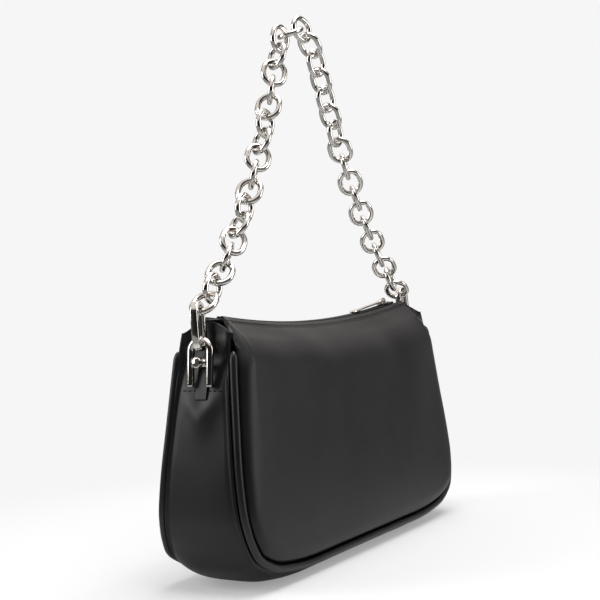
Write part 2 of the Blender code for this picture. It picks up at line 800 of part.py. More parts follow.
def add_arch(name, frame, finish):
    """A round bar bent to an arch, standing on the bag's end."""
    steps = 10
    path = [Vector((ARCH_HALF_SPAN, -ARCH_LEG, 0.0)), Vector((ARCH_HALF_SPAN, -ARCH_LEG / 2, 0.0))]
    for i in range(steps + 1):
        turn = math.pi * i / steps
        path.append(Vector((ARCH_HALF_SPAN * math.cos(turn), ARCH_HALF_SPAN * math.sin(turn), 0.0)))
    path += [Vector((-ARCH_HALF_SPAN, -ARCH_LEG / 2, 0.0)), Vector((-ARCH_HALF_SPAN, -ARCH_LEG, 0.0))]
    shape = sweep(path, round_section(ARCH_RADIUS, 10), Vector((0.0, 0.0, 1.0)))
    arch = make_object(name, *moved(shape, frame), finish)
    add_boolean(arch, add_crossbar(f"{name}_crossbar", frame, finish), "UNION")


def add_crossbar(name, frame, finish):
    """A flat bar between the arch's legs, with a hole for the stud."""
    reach = ARCH_HALF_SPAN - ARCH_RADIUS / 2
    high = CROSSBAR_HALF_HEIGHT
    hole = [(STUD_HOLE_RADIUS * math.cos(math.pi * i / 4), STUD_HOLE_RADIUS * math.sin(math.pi * i / 4))
            for i in range(8)]
    outer = [(reach, 0.0), (reach, high), (0.0, high), (-reach, high),
             (-reach, 0.0), (-reach, -high), (0.0, -high), (reach, -high)]
    low = -CROSSBAR_HALF_THICKNESS
    shape = holed_plate(outer, hole, low, CROSSBAR_HALF_THICKNESS)
    lowered = frame @ Matrix.Translation((0.0, -CROSSBAR_DROP, 0.0))
    return make_object(name, *moved(shape, lowered), finish)


def add_anchor(side, sign, leather, metal, gusset):
    """A leather tab under the arch, and the stud that holds both to the gusset."""
    frame = end_frame(sign) @ Matrix.Translation((0.0, -CROSSBAR_DROP, 0.0))
    stud_height = frame.translation.z
    heights = [stud_height + TAB_ABOVE - (TAB_ABOVE + TAB_BELOW) * i / 8 for i in range(9)]
    outer = []
    inner = []
    for height in heights:
        share = end_seam_share(sign, height)
        reach = TAB_HALF_WIDTH / half_depth(height)
        sides = [reach * (i / 2 - 1) * sign for i in range(5)]
        outer.append([gusset_point(share, -part, -GAP - TAB_THICKNESS) for part in sides])
        inner.append([gusset_point(share, -part, -GAP) for part in sides])
    tab = make_object(f"{side}_anchor_tab", *sheet(outer, inner), leather)
    to_frame = frame.inverted()
    around = [stud_height + STUD_FLANGE_RADIUS * i for i in (-1, 0, 1)]
    wall = min((to_frame @ gusset_point(end_seam_share(sign, height), 0.0, LEATHER)).z for height in around)
    flange = wall - GAP - STUD_FLANGE
    head = CROSSBAR_HALF_THICKNESS + GAP
    waist = head + STUD_HEAD_LENGTH / 2
    profile = [
        (flange, STUD_FLANGE_RADIUS), (flange + STUD_FLANGE, STUD_FLANGE_RADIUS),
        (flange + STUD_FLANGE, STUD_SHANK_RADIUS), (head, STUD_SHANK_RADIUS),
        (head, STUD_HEAD_RADIUS), (waist, STUD_HEAD_RADIUS * STUD_WAIST_SHARE),
        (head + STUD_HEAD_LENGTH, STUD_HEAD_RADIUS),
        (head + STUD_HEAD_LENGTH + GAP, STUD_HEAD_RADIUS * STUD_WAIST_SHARE),
    ]
    make_object(f"{side}_stud", *moved(lathe(profile, 8), frame), metal)
    hole = lathe([(flange, STUD_HOLE_RADIUS), (0.0, STUD_HOLE_RADIUS)], 8)
    cutter = make_object(f"{side}_stud_hole", *moved(hole, frame), metal)
    add_boolean(tab, cutter, "DIFFERENCE")
    add_boolean(gusset, cutter, "DIFFERENCE")


def catenary(x):
    """Height of a strand at a distance from the strap's middle."""
    return CATENARY_LIFT + CATENARY_SIZE * math.cosh((CATENARY_REACH - x) / CATENARY_SIZE)


def next_joint(joint, distance):
    """The point down the strand at a distance from a point on it."""
    low = max(joint.x, GAP)
    high = SEAM_HALF_LENGTH + distance
    for _ in range(50):
        middle = (low + high) / 2
        if (Vector((middle, catenary(middle))) - joint).length < distance:
            low = middle
        else:
            high = middle
    return Vector((low, catenary(low)))


def link_reach(number):
    """Distance between a link's two joints, and the joints' places from its first end."""
    length = LINK_LENGTH - LINK_WIRE
    round_end = (LINK_WIDTH - LINK_WIRE) / 2
    touch = (LINK_WIRE + GAP) / 2
    ends = []
    for neighbour in (number - 1, number + 1):
        if number in FLAT_LINKS:
            ends.append(round_end)
        elif neighbour in FLAT_LINKS:
            ends.append(2 * touch - round_end)
        elif 1 <= neighbour <= LINK_COUNT:
            ends.append(touch)
        else:
            ends.append(0.0)
    return length - ends[0] - ends[1], ends[0]


def flat_joints(apex_x):
    """The joints between the links in the strap's own plane, from the left end to the right one."""
    middle = LINK_COUNT // 2
    apex = Vector((apex_x, APEX_HEIGHT))
    right_slope = math.radians(RIGHT_TOP_SLOPE_DEGREES)
    left_step = link_reach(middle)[0]
    right_step = link_reach(middle + 1)[0]
    left = [next_joint(Vector((-apex_x, APEX_HEIGHT)), left_step)]
    right = [apex + Vector((math.cos(right_slope), -math.sin(right_slope))) * right_step]
    for number in range(middle - 1, 0, -1):
        left.append(next_joint(left[-1], link_reach(number)[0]))
    for number in range(middle + 2, LINK_COUNT + 1):
        right.append(next_joint(right[-1], link_reach(number)[0]))
    return [Vector((-joint.x, joint.y)) for joint in reversed(left)] + [apex] + right


def level_joints():
    """The joints of the strap whose two ends are level."""
    low, high = -LINK_LENGTH, LINK_LENGTH
    for _ in range(40):
        middle = (low + high) / 2
        joints = flat_joints(middle)
        if joints[0].y > joints[-1].y:
            high = middle
        else:
            low = middle
    return joints


def in_space(joint):
    """A point of the flat strap carried onto its leaning, slightly twisted plane."""
    foot = JOINTS[0].y
    rise = (joint.y - foot) / (APEX_HEIGHT - foot)
    twist = STRAND_TWIST * rise * max(min(joint.x / LINK_LENGTH, 1.0), -1.0)
    return Vector((joint.x, STRAP_FOOT_Y + (APEX_Y - STRAP_FOOT_Y) * rise - twist, joint.y))


JOINTS = level_joints()


def link_turn(number):
    """The turn of a link about its own length, from facing the viewer, in degrees."""
    middle = LINK_COUNT // 2
    if number < middle - 1:
        first = FIRST_TURN_DEGREES if number == 1 else 0.0
        return LINK_TURN_START_DEGREES + LINK_TURN_DEGREES * (number - 1) + first
    if number < middle + 3:
        return TOP_TURNS_DEGREES[number - middle + 1]
    return 90.0 * number + RIGHT_TURNS_DEGREES[number - middle - 3]


def link_shape():
    """One link as a bent round wire, lying in the local XY plane along X."""
    steps = 12
    half_length = (LINK_LENGTH - LINK_WIRE) / 2
    half_width = (LINK_WIDTH - LINK_WIRE) / 2
    straight = half_length - half_width
    path = []
    for i in range(steps):
        turn = 2 * math.pi * (i + 0.5) / steps
        x = half_width * math.cos(turn)
        path.append(Vector((x + math.copysign(straight, x), half_width * math.sin(turn), 0.0)))
    return sweep(path, round_section(LINK_WIRE / 2, 6), Vector((0.0, 0.0, 1.0)), True)


def link_frame(number, turn_degrees):
    """The frame of one link: X along it and Z across its flat side."""
    start = in_space(JOINTS[number - 1])
    along = (in_space(JOINTS[number]) - start).normalized()
    centre = start + along * ((LINK_LENGTH - LINK_WIRE) / 2 - link_reach(number)[1])
    facing = Vector(VIEW_SHARES)
    facing = (facing - along * facing.dot(along)).normalized()
    normal = Matrix.Rotation(math.radians(turn_degrees), 3, along) @ facing
    return frame_at(centre, along, normal.cross(along))


def add_chain(finish, pivot):
    """The strap's links, numbered from the left end to the right one."""
    shape = link_shape()
    for number in range(1, LINK_COUNT + 1):
        frame = link_frame(number, link_turn(number))
        make_object(f"chain_link_{number:02d}", *moved(shape, frame), finish, pivot)


def add_connector(name, sign, finish, pivot):
    """A flat sided oblong ring through the arch's crown and the first link."""
    crown = end_frame(sign) @ Vector((0.0, ARCH_HALF_SPAN, 0.0))
    wire = in_space(JOINTS[0] if sign < 0 else JOINTS[-1])
    up = (wire - crown).normalized()
    turn = math.radians(LEFT_RING_TURN_DEGREES) if sign < 0 else 0.0
    depth_way = Vector((-math.sin(turn), math.cos(turn), 0.0))
    depth_way = (depth_way - up * depth_way.dot(up)).normalized()
    out = up.cross(depth_way)
    out = out if out.x * sign > 0 else -out
    low = crown + out * RING_OFFSET - up * (ARCH_RADIUS + GAP + RING_SETTLE + RING_BAR / 2)
    centre = low + up * (RING_LENGTH - RING_BAR) / 2
    half_width = RING_HALF_WIDTH - RING_BAR / 2
    straight = (RING_LENGTH - RING_BAR) / 2 - half_width
    steps = 16
    path = []
    for i in range(steps):
        turn = 2 * math.pi * (i + 0.5) / steps
        rise = half_width * math.sin(turn)
        lift = rise + math.copysign(straight, rise)
        path.append(centre + out * (half_width * math.cos(turn)) + up * lift)
    bar = RING_BAR / 2
    deep = RING_DEPTH / 2
    cut = RING_CORNER
    section = [(-bar, -deep + cut), (-bar + cut, -deep), (bar - cut, -deep), (bar, -deep + cut),
               (bar, deep - cut), (bar - cut, deep), (-bar + cut, deep), (-bar, deep - cut)]
    make_object(name, *sweep(path, section, depth_way, True), finish, pivot)


def build():
    """Build the whole bag."""
    clear_scene()
    leather = ((0.032, 0.032, 0.033), 0.42)
    fabric = ((0.015, 0.015, 0.016), 0.9)
    nylon = ((0.01, 0.01, 0.01), 0.5)
    board = ((0.05, 0.05, 0.05), 0.8)
    metal = ((0.82, 0.81, 0.79), 0.12, 1.0)
    add_panels(leather)
    gusset = add_gusset(leather)
    add_piping(leather)
    add_base_board(board)
    add_lining(fabric)
    add_zip(fabric, nylon)
    add_end_tabs(leather)
    slider_pivot = make_pivot("slider_pivot", (0.0, 0.0, ZIP_CENTRE_HEIGHT))
    pull_place = zip_frame(SLIDER_X) @ Vector((0.0, 0.0, pull_pivot_height()))
    pull_pivot = make_pivot("pull_pivot", pull_place)
    add_slider(metal, slider_pivot, pull_pivot)
    strap_pivot = make_pivot("strap_pivot", (0.0, 0.0, ARCH_HINGE_HEIGHT))
    add_chain(metal, strap_pivot)
    for side, sign in (("left", -1), ("right", 1)):
        frame = end_frame(sign)
        add_arch(f"{side}_arch", frame, metal)
        add_anchor(side, sign, leather, metal, gusset)
        add_connector(f"{side}_connector", sign, metal, strap_pivot)


build()
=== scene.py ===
"""A small black leather shoulder bag with a bright chain strap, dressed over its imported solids.

Metres, +Z up. X runs along the bag, the plain front panel faces -Y, and the origin is on the
floor under the middle of the bag.
"""

import logging
import math
from dataclasses import dataclass
from enum import Enum
from typing import Callable

import bpy
import numpy as np
from mathutils import Matrix, Vector


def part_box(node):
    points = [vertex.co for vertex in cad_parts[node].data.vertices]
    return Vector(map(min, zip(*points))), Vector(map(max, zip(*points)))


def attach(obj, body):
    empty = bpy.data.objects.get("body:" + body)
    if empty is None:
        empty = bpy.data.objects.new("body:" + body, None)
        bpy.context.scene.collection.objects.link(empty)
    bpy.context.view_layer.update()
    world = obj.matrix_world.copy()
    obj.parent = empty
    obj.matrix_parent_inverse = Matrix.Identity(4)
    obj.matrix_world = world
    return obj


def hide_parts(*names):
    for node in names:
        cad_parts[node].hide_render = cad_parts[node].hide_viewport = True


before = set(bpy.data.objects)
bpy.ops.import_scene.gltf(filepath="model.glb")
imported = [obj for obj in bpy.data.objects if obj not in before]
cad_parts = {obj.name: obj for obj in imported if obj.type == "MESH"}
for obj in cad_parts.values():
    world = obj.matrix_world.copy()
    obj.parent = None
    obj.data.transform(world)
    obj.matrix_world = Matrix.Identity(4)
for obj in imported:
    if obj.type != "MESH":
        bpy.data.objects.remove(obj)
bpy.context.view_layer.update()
MM = 0.001
GAP = 0.0003
NEAR = 1e-6
LOG = logging.getLogger("bag")

Step = Callable[[], object]
Test = Callable[[Vector], bool] | None


class Body(Enum):
    """The moving groups that a piece can ride on."""

    BAG = "bag"
    STRAP = "strap"
    SLIDER = "slider"
    PULL = "pull"


class Slot(Enum):
    """The record's material slots."""

    LEATHER = "black_leather"
    FABRIC = "black_fabric"
    NYLON = "zip_nylon"
    BOARD = "stiffener"
    METAL = "bright_metal"


class Side(Enum):
    """The two long sides of the bag; the value is the sign of Y."""

    FRONT = -1
    BACK = 1

    @property
    def label(self) -> str:
        """The side as the pieces' names spell it."""
        return self.name.lower()

    @property
    def flip(self) -> np.ndarray:
        """What a point of the front is multiplied by to give this side's."""
        return np.array((1, -self.value, 1))


class End(Enum):
    """The two ends of the bag; the value is the sign of X."""

    LEFT = -1
    RIGHT = 1

    @property
    def label(self) -> str:
        """The end as the pieces' names spell it."""
        return self.name.lower()


# Colours and nodes


def linear(hex_colour: str) -> tuple[float, float, float, float]:
    """Turn an sRGB hex colour into a linear one.

    Args:
        hex_colour: six hex digits.

    Returns:
        Red, green, blue and an alpha of one.
    """
    parts = [int(hex_colour[i:i + 2], 16) / 255 for i in (0, 2, 4)]
    made = [p / 12.92 if p <= 0.04045 else ((p + 0.055) / 1.055) ** 2.4 for p in parts]
    return (*made, 1.0)


def add_node(tree: bpy.types.NodeTree, kind: str, links: dict | None = None, **settings) -> bpy.types.Node:
    """Add one node with its settings, input values and links.

    Args:
        tree: the node tree.
        kind: the node's type without its "ShaderNode" prefix.
        links: input name or number to a value, or to the output socket that feeds it.
        settings: the node's own properties.

    Returns:
        The new node.
    """
    node = tree.nodes.new(f"ShaderNode{kind}")
    for name, value in settings.items():
        setattr(node, name, value)
    for key, value in (links or {}).items():
        if isinstance(value, bpy.types.NodeSocket):
            tree.links.new(value, node.inputs[key])
        else:
            node.inputs[key].default_value = value
    return node


def combine(tree: bpy.types.NodeTree, operation: str, *values) -> bpy.types.NodeSocket:
    """The result of a math node on values or sockets."""
    return add_node(tree, "Math", dict(enumerate(values)), operation=operation).outputs[0]


def ramp(tree: bpy.types.NodeTree, value: bpy.types.NodeSocket, over: tuple[float, float],
         ends: tuple[float, float], soft: bool = False) -> bpy.types.NodeSocket:
    """Map a value from one range to another, held at both ends.

    Args:
        tree: the node tree.
        value: the socket that is read.
        over: the range that it is read over.
        ends: what it becomes at the range's two ends.
        soft: whether it eases in and out.

    Returns:
        The socket of the result.
    """
    return add_node(tree, "MapRange", {0: value, 1: over[0], 2: over[1], 3: ends[0], 4: ends[1]},
                    interpolation_type="SMOOTHSTEP" if soft else "LINEAR").outputs["Result"]


def noise(tree: bpy.types.NodeTree, where: bpy.types.NodeSocket, size_mm: float,
          detail: float, roughness: float = 0.5) -> bpy.types.NodeSocket:
    """Soft random spots.

    Args:
        tree: the node tree.
        where: the places to read it at.
        size_mm: about how wide a spot is.
        detail: how many finer layers it has.
        roughness: how strong they are.

    Returns:
        The socket of the spots' strength.
    """
    return add_node(tree, "TexNoise", {"Vector": where, "Scale": 1 / (size_mm * MM), "Detail": detail,
                                       "Roughness": roughness}).outputs["Fac"]


def emboss(tree: bpy.types.NodeTree, shader: bpy.types.Node, height: bpy.types.NodeSocket,
           strength: float, depth_mm: float) -> None:
    """Let a height tilt the shader's surface.

    Args:
        tree: the node tree.
        shader: the shader.
        height: the socket of the height.
        strength: how much of it shows.
        depth_mm: how deep a height of one is.
    """
    bump = add_node(tree, "Bump", {"Height": height, "Strength": strength, "Distance": depth_mm * MM})
    tree.links.new(bump.outputs["Normal"], shader.inputs["Normal"])


@dataclass(frozen=True)
class Cover:
    """A made material, with the record's slot that it belongs to."""

    material: bpy.types.Material
    slot: Slot


@dataclass(frozen=True)
class Finish:
    """What every finish has: a name, a slot, its colour and how its surface scatters light."""

    name: str
    slot: Slot
    colour: str
    roughness: float
    metallic: float = 0.0
    specular: float = 0.5

    def make(self) -> Cover:
        """Make the material with its fixed values, then with what varies over the surface.

        Returns:
            The material and its slot.
        """
        material = bpy.data.materials.new(self.name)
        material.use_nodes = True
        tree = material.node_tree
        shader = tree.nodes["Principled BSDF"]
        fixed = {"Base Color": linear(self.colour), "Roughness": self.roughness,
                 "Metallic": self.metallic, "Specular IOR Level": self.specular}
        for name, value in fixed.items():
            shader.inputs[name].default_value = value
        self.pattern(tree, shader, add_node(tree, "TexCoord").outputs["Object"])
        return Cover(material, self.slot)

    def pattern(self, tree: bpy.types.NodeTree, shader: bpy.types.Node,
                where: bpy.types.NodeSocket) -> None:
        """Add what varies over the surface; a bare finish adds nothing."""


@dataclass(frozen=True)
class SmoothLeather(Finish):
    """Chrome-tanned calf with a satin pigment finish: a shut, smooth face that shines softly."""

    worn_colour: str = "151516"
    worn_share: float = 0.55
    worn_over: tuple[float, float] = (0.35, 0.75)
    polish_over: tuple[float, float] = (0.3, 0.7)
    polish_change: float = 0.035
    grain_mm: float = 0.55
    grain_spread: float = 0.9
    grain_strength: float = 0.5
    grain_depth_mm: float = 0.018
    fine_share: float = 0.35
    cloud_mm: float = 26.0

    def pattern(self, tree: bpy.types.NodeTree, shader: bpy.types.Node,
                where: bpy.types.NodeSocket) -> None:
        """Add pebbled pores, slow colour clouds and uneven polish.

        Args:
            tree: the material's tree.
            shader: its shader.
            where: the piece's own coordinates.
        """
        pores = add_node(tree, "TexVoronoi", {"Vector": where, "Scale": 1 / (self.grain_mm * MM),
                                              "Randomness": self.grain_spread}, feature="SMOOTH_F1")
        fine = noise(tree, where, self.fine_share * self.grain_mm, 3.0, 0.6)
        clouds = noise(tree, where, self.cloud_mm, 4.0, 0.55)
        worn = ramp(tree, clouds, self.worn_over, (0.0, self.worn_share))
        colour = add_node(tree, "Mix", {0: worn, 6: linear(self.colour),
                                        7: linear(self.worn_colour)}, data_type="RGBA")
        tree.links.new(colour.outputs[2], shader.inputs["Base Color"])
        polish = ramp(tree, clouds, self.polish_over,
                      (self.roughness - self.polish_change, self.roughness + self.polish_change))
        tree.links.new(polish, shader.inputs["Roughness"])
        height = combine(tree, "MULTIPLY_ADD", fine, self.fine_share, pores.outputs["Distance"])
        emboss(tree, shader, height, self.grain_strength, self.grain_depth_mm)


@dataclass(frozen=True)
class PolishedNickel(Finish):
    """Cast and tumbled zinc plated with bright nickel: a mirror with the faintest orange peel."""

    peel_mm: float = 1.4
    peel_depth_mm: float = 0.02
    peel_strength: float = 0.25
    scratch_mm: float = 0.25
    scratch_over: tuple[float, float] = (0.45, 0.75)
    scratch_dulling: float = 0.05

    def pattern(self, tree: bpy.types.NodeTree, shader: bpy.types.Node,
                where: bpy.types.NodeSocket) -> None:
        """Add soft peel and fine handling marks.

        Args:
            tree: the material's tree.
            shader: its shader.
            where: the piece's own coordinates.
        """
        marks = noise(tree, where, self.scratch_mm, 2.0)
        dull = ramp(tree, marks, self.scratch_over,
                    (self.roughness, self.roughness + self.scratch_dulling))
        tree.links.new(dull, shader.inputs["Roughness"])
        emboss(tree, shader, noise(tree, where, self.peel_mm, 1.0), self.peel_strength,
               self.peel_depth_mm)


@dataclass(frozen=True)
class WovenCloth(Finish):
    """Plain-woven polyester: matte, with a thread spacing drawn a little coarse to show."""

    thread_mm: float = 0.5
    waves_per_scale: float = 0.314
    weave_depth_mm: float = 0.1
    weave_strength: float = 0.6

    def pattern(self, tree: bpy.types.NodeTree, shader: bpy.types.Node,
                where: bpy.types.NodeSocket) -> None:
        """Add warp and weft waves in the bump.

        Args:
            tree: the material's tree.
            shader: its shader.
            where: the piece's own coordinates.
        """
        scale = self.waves_per_scale / (self.thread_mm * MM)
        waves = [add_node(tree, "TexWave", {"Vector": where, "Scale": scale}, wave_type="BANDS",
                          bands_direction=direction).outputs["Fac"] for direction in ("X", "Z")]
        emboss(tree, shader, combine(tree, "MULTIPLY", *waves), self.weave_strength,
               self.weave_depth_mm)


@dataclass(frozen=True)
class MouldedNylon(Finish):
    """Extruded nylon, a little glossy, with a fine drawn texture."""

    texture_mm: float = 0.4
    texture_depth_mm: float = 0.03
    texture_strength: float = 0.3

    def pattern(self, tree: bpy.types.NodeTree, shader: bpy.types.Node,
                where: bpy.types.NodeSocket) -> None:
        """Add fine bumps that break up the gloss."""
        emboss(tree, shader, noise(tree, where, self.texture_mm, 2.0), self.texture_strength,
               self.texture_depth_mm)


class Finishes:
    """The bag's covers, each made once."""

    def __init__(self) -> None:
        """Make every material."""
        self.leather = SmoothLeather("satin_calf_leather", Slot.LEATHER, "0d0d0e", 0.42,
                                     specular=0.36).make()
        self.edge_leather = SmoothLeather("satin_calf_edges", Slot.LEATHER, "0e0e0f", 0.38,
                                          specular=0.45, grain_mm=0.45).make()
        self.nickel = PolishedNickel("polished_nickel_plate", Slot.METAL, "dedbd6", 0.06,
                                     metallic=1.0).make()
        self.lining = WovenCloth("woven_polyester_lining", Slot.FABRIC, "1a1a1b", 0.85).make()
        self.tape = WovenCloth("woven_zip_tape", Slot.FABRIC, "141415", 0.8, thread_mm=0.6).make()
        self.nylon = MouldedNylon("nylon_coil", Slot.NYLON, "121213", 0.38).make()
        # The thread's near-black colour, darker than the leather, is partly the black thread's own colour
        # and partly painted shade of the sunk stitch holes.
        self.thread = WovenCloth("polyester_thread_with_painted_shade", Slot.FABRIC, "040404", 0.85, specular=0.2,
                                 thread_mm=0.3).make()
        self.board = MouldedNylon("pressed_board", Slot.BOARD, "3a3835", 0.85).make()


# Modelling helpers


def deselect() -> None:
    """Leave object mode with nothing selected."""
    if bpy.context.object and bpy.context.object.mode != "OBJECT":
        bpy.ops.object.mode_set(mode="OBJECT")
    bpy.ops.object.select_all(action="DESELECT")


def take(piece: bpy.types.Object) -> None:
    """Make one piece the only one that is selected and active."""
    deselect()
    bpy.context.view_layer.objects.active = piece
    piece.select_set(True)


def edit(piece: bpy.types.Object, chosen: Test, *steps: Step) -> None:
    """Run edit-mode operators on the part of a piece that a test picks.

    Args:
        piece: the piece.
        chosen: the test on a point's place, or None for the whole piece.
        steps: functions without arguments, run in order in edit mode.
    """
    take(piece)
    bpy.ops.object.mode_set(mode="EDIT")
    bpy.ops.mesh.select_mode(type="VERT")
    bpy.ops.mesh.select_all(action="DESELECT")
    bpy.ops.object.mode_set(mode="OBJECT")
    mesh = piece.data
    marks = np.array([chosen is None or bool(chosen(v.co)) for v in mesh.vertices])
    mesh.vertices.foreach_set("select", marks)
    mesh.edges.foreach_set("select", [bool(marks[list(e.vertices)].all()) for e in mesh.edges])
    mesh.polygons.foreach_set("select", [bool(marks[list(p.vertices)].all()) for p in mesh.polygons])
    bpy.ops.object.mode_set(mode="EDIT")
    for step in steps:
        step()
    bpy.ops.object.mode_set(mode="OBJECT")


def moved(*shift: float) -> Step:
    """The step that moves what is selected."""
    return lambda: bpy.ops.transform.translate(value=shift)


def resized(factors: tuple[float, ...], centre: tuple[float, ...]) -> Step:
    """The step that scales what is selected about a centre."""
    return lambda: bpy.ops.transform.resize(value=factors, center_override=centre)


def edges_drawn(*shift: float) -> Step:
    """The step that extrudes the selected edges along a shift."""
    return lambda: bpy.ops.mesh.extrude_edges_move(TRANSFORM_OT_translate={"value": shift})


def region_drawn(*shift: float) -> Step:
    """The step that extrudes the selected faces along a shift."""
    return lambda: bpy.ops.mesh.extrude_region_move(TRANSFORM_OT_translate={"value": shift})


def face_out(piece: bpy.types.Object) -> None:
    """Turn all of a piece's faces outwards."""
    edit(piece, None, lambda: bpy.ops.mesh.normals_make_consistent(inside=False))


def stretch(ring: bpy.types.Object, distance: float) -> None:
    """Make a round ring long, by moving each of its halves along X."""
    for sign in (-1, 1):
        edit(ring, lambda co: co.x * sign > NEAR, moved(sign * distance, 0, 0))


def modify(piece: bpy.types.Object, kind: str, **settings) -> None:
    """Add one modifier and apply it.

    Args:
        piece: the piece.
        kind: the modifier's type.
        settings: its properties.
    """
    take(piece)
    modifier = piece.modifiers.new(kind.lower(), kind)
    for name, value in settings.items():
        setattr(modifier, name, value)
    bpy.ops.object.modifier_apply(modifier=modifier.name)


def bevel(piece: bpy.types.Object, width: float, segments: int, degrees: float) -> None:
    """Round the edges that are sharper than an angle."""
    modify(piece, "BEVEL", width=width, segments=segments, limit_method="ANGLE",
           angle_limit=math.radians(degrees))


def settle(piece: bpy.types.Object, place: Matrix) -> bpy.types.Object:
    """Carry a piece's mesh to its place and leave its object at the origin.

    Args:
        piece: the piece.
        place: where its mesh goes.

    Returns:
        The piece.
    """
    piece.data.transform(piece.matrix_basis)
    piece.matrix_basis = Matrix.Identity(4)
    piece.data.transform(place)
    piece.data.update()
    return piece


def smooth(piece: bpy.types.Object, degrees: float = 35.0) -> None:
    """Shade a piece smooth and keep the edges that are sharper than an angle."""
    take(piece)
    bpy.ops.object.shade_smooth_by_angle(angle=math.radians(degrees))


def duplicate(piece: bpy.types.Object, name: str) -> bpy.types.Object:
    """Copy a piece with a mesh of its own.

    Args:
        piece: the piece.
        name: the copy's name.

    Returns:
        The copy.
    """
    copy = piece.copy()
    copy.data = piece.data.copy()
    copy.name = copy.data.name = name
    bpy.context.collection.objects.link(copy)
    return copy


def join(pieces: list[bpy.types.Object], name: str) -> bpy.types.Object:
    """Join pieces into one.

    Args:
        pieces: the pieces; the first one's object stays.
        name: the joined piece's name.

    Returns:
        The joined piece.
    """
    deselect()
    for piece in pieces:
        piece.select_set(True)
    bpy.context.view_layer.objects.active = pieces[0]
    bpy.ops.object.join()
    joined = bpy.context.object
    joined.name = joined.data.name = name
    return joined


def box_piece(centre: tuple[float, ...], size: tuple[float, ...]) -> bpy.types.Object:
    """A box, to be shaped further.

    Args:
        centre: its middle.
        size: its three sides.

    Returns:
        The box.
    """
    deselect()
    bpy.ops.mesh.primitive_cube_add(size=1)
    return settle(bpy.context.object, Matrix.Translation(centre) @ Matrix.Diagonal((*size, 1)))


def finish_piece(piece: bpy.types.Object, name: str, body: Body, cover: Cover, *nodes: str) -> None:
    """Name and dress a piece, and set it on its body.

    Args:
        piece: the piece, with its place in its mesh.
        name: its name.
        body: what it rides on.
        cover: its material, with the record's slot.
        nodes: the CAD nodes that it stands for.
    """
    piece.name = piece.data.name = name
    piece.data.materials.clear()
    piece.data.materials.append(cover.material)
    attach(piece, body.value)
    if nodes:
        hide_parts(*nodes)
    LOG.info("%s: %d faces", name, len(piece.data.polygons))


def frame_matrix(first: Vector, second: Vector, centre: Vector) -> Matrix:
    """A right-handed frame.

    Args:
        first: the direction of its X axis.
        second: the direction of its Y axis.
        centre: its origin.

    Returns:
        The matrix that carries a piece into it.
    """
    matrix = Matrix((first, second, first.cross(second))).transposed().to_4x4()
    matrix.translation = centre
    return matrix


def node_frame(name: str) -> Matrix:
    """The frame of a CAD node.

    Args:
        name: the node.

    Returns:
        The matrix whose X, Y and Z axes are its longest, middle and shortest direction.
    """
    points = np.array([v.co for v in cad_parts[name].data.vertices], float)
    points = np.unique(points.round(7), axis=0)
    centre = points.mean(0)
    axes = np.linalg.svd(points - centre, full_matrices=False)[2]
    return frame_matrix(Vector(axes[0]), Vector(axes[1]), Vector(centre))


# The bag's shape


def unit(vectors: np.ndarray) -> np.ndarray:
    """The same vectors at a length of one."""
    return vectors / np.maximum(np.linalg.norm(vectors, axis=-1, keepdims=True), 1e-12)


def eased(share: np.ndarray) -> np.ndarray:
    """A share from 0 to 1 that starts and stops gently."""
    return share * share * (3 - 2 * share)


def crowded(count: int, even_share: float = 0.35) -> np.ndarray:
    """Shares from 0 to 1 with shorter steps at both ends."""
    even = np.linspace(0, 1, count + 1)
    return even_share * even + (1 - even_share) * (1 - np.cos(np.pi * even)) / 2


def hump(value: np.ndarray, middle: float, spread: float) -> np.ndarray:
    """A smooth rise to one at the middle and back to nothing within a few spreads."""
    return np.exp(-((value - middle) / spread) ** 2)


class Line:
    """A polyline read by the share of its length."""

    def __init__(self, points: np.ndarray) -> None:
        """Measure the line's steps.

        Args:
            points: the line's points in order.
        """
        self.points = np.asarray(points, float)
        steps = np.linalg.norm(np.diff(self.points, axis=0), axis=1)
        self.length = steps.sum()
        self.shares = np.concatenate([[0.0], np.cumsum(steps)]) / self.length

    def at(self, share: np.ndarray) -> np.ndarray:
        """Points at shares of the length, from 0 to 1."""
        share = np.asarray(share, float)
        return np.stack([np.interp(share, self.shares, self.points[:, k]) for k in range(3)], -1)


def catmull(points: np.ndarray, steps: int) -> np.ndarray:
    """Points of a smooth curve through the given points.

    Args:
        points: the points to pass through.
        steps: how many pieces each stretch is cut into.

    Returns:
        The curve's points.
    """
    ends = np.vstack([2 * points[0] - points[1], points, 2 * points[-1] - points[-2]])
    t = np.linspace(0, 1, steps, endpoint=False)[:, None]
    runs = []
    for a, b, c, d in zip(ends, ends[1:], ends[2:], ends[3:]):
        runs.append(0.5 * (2 * b + (c - a) * t + (2 * a - 5 * b + 4 * c - d) * t * t
                           + (3 * b - a - 3 * c + d) * t ** 3))
    return np.vstack([*runs, points[-1]])


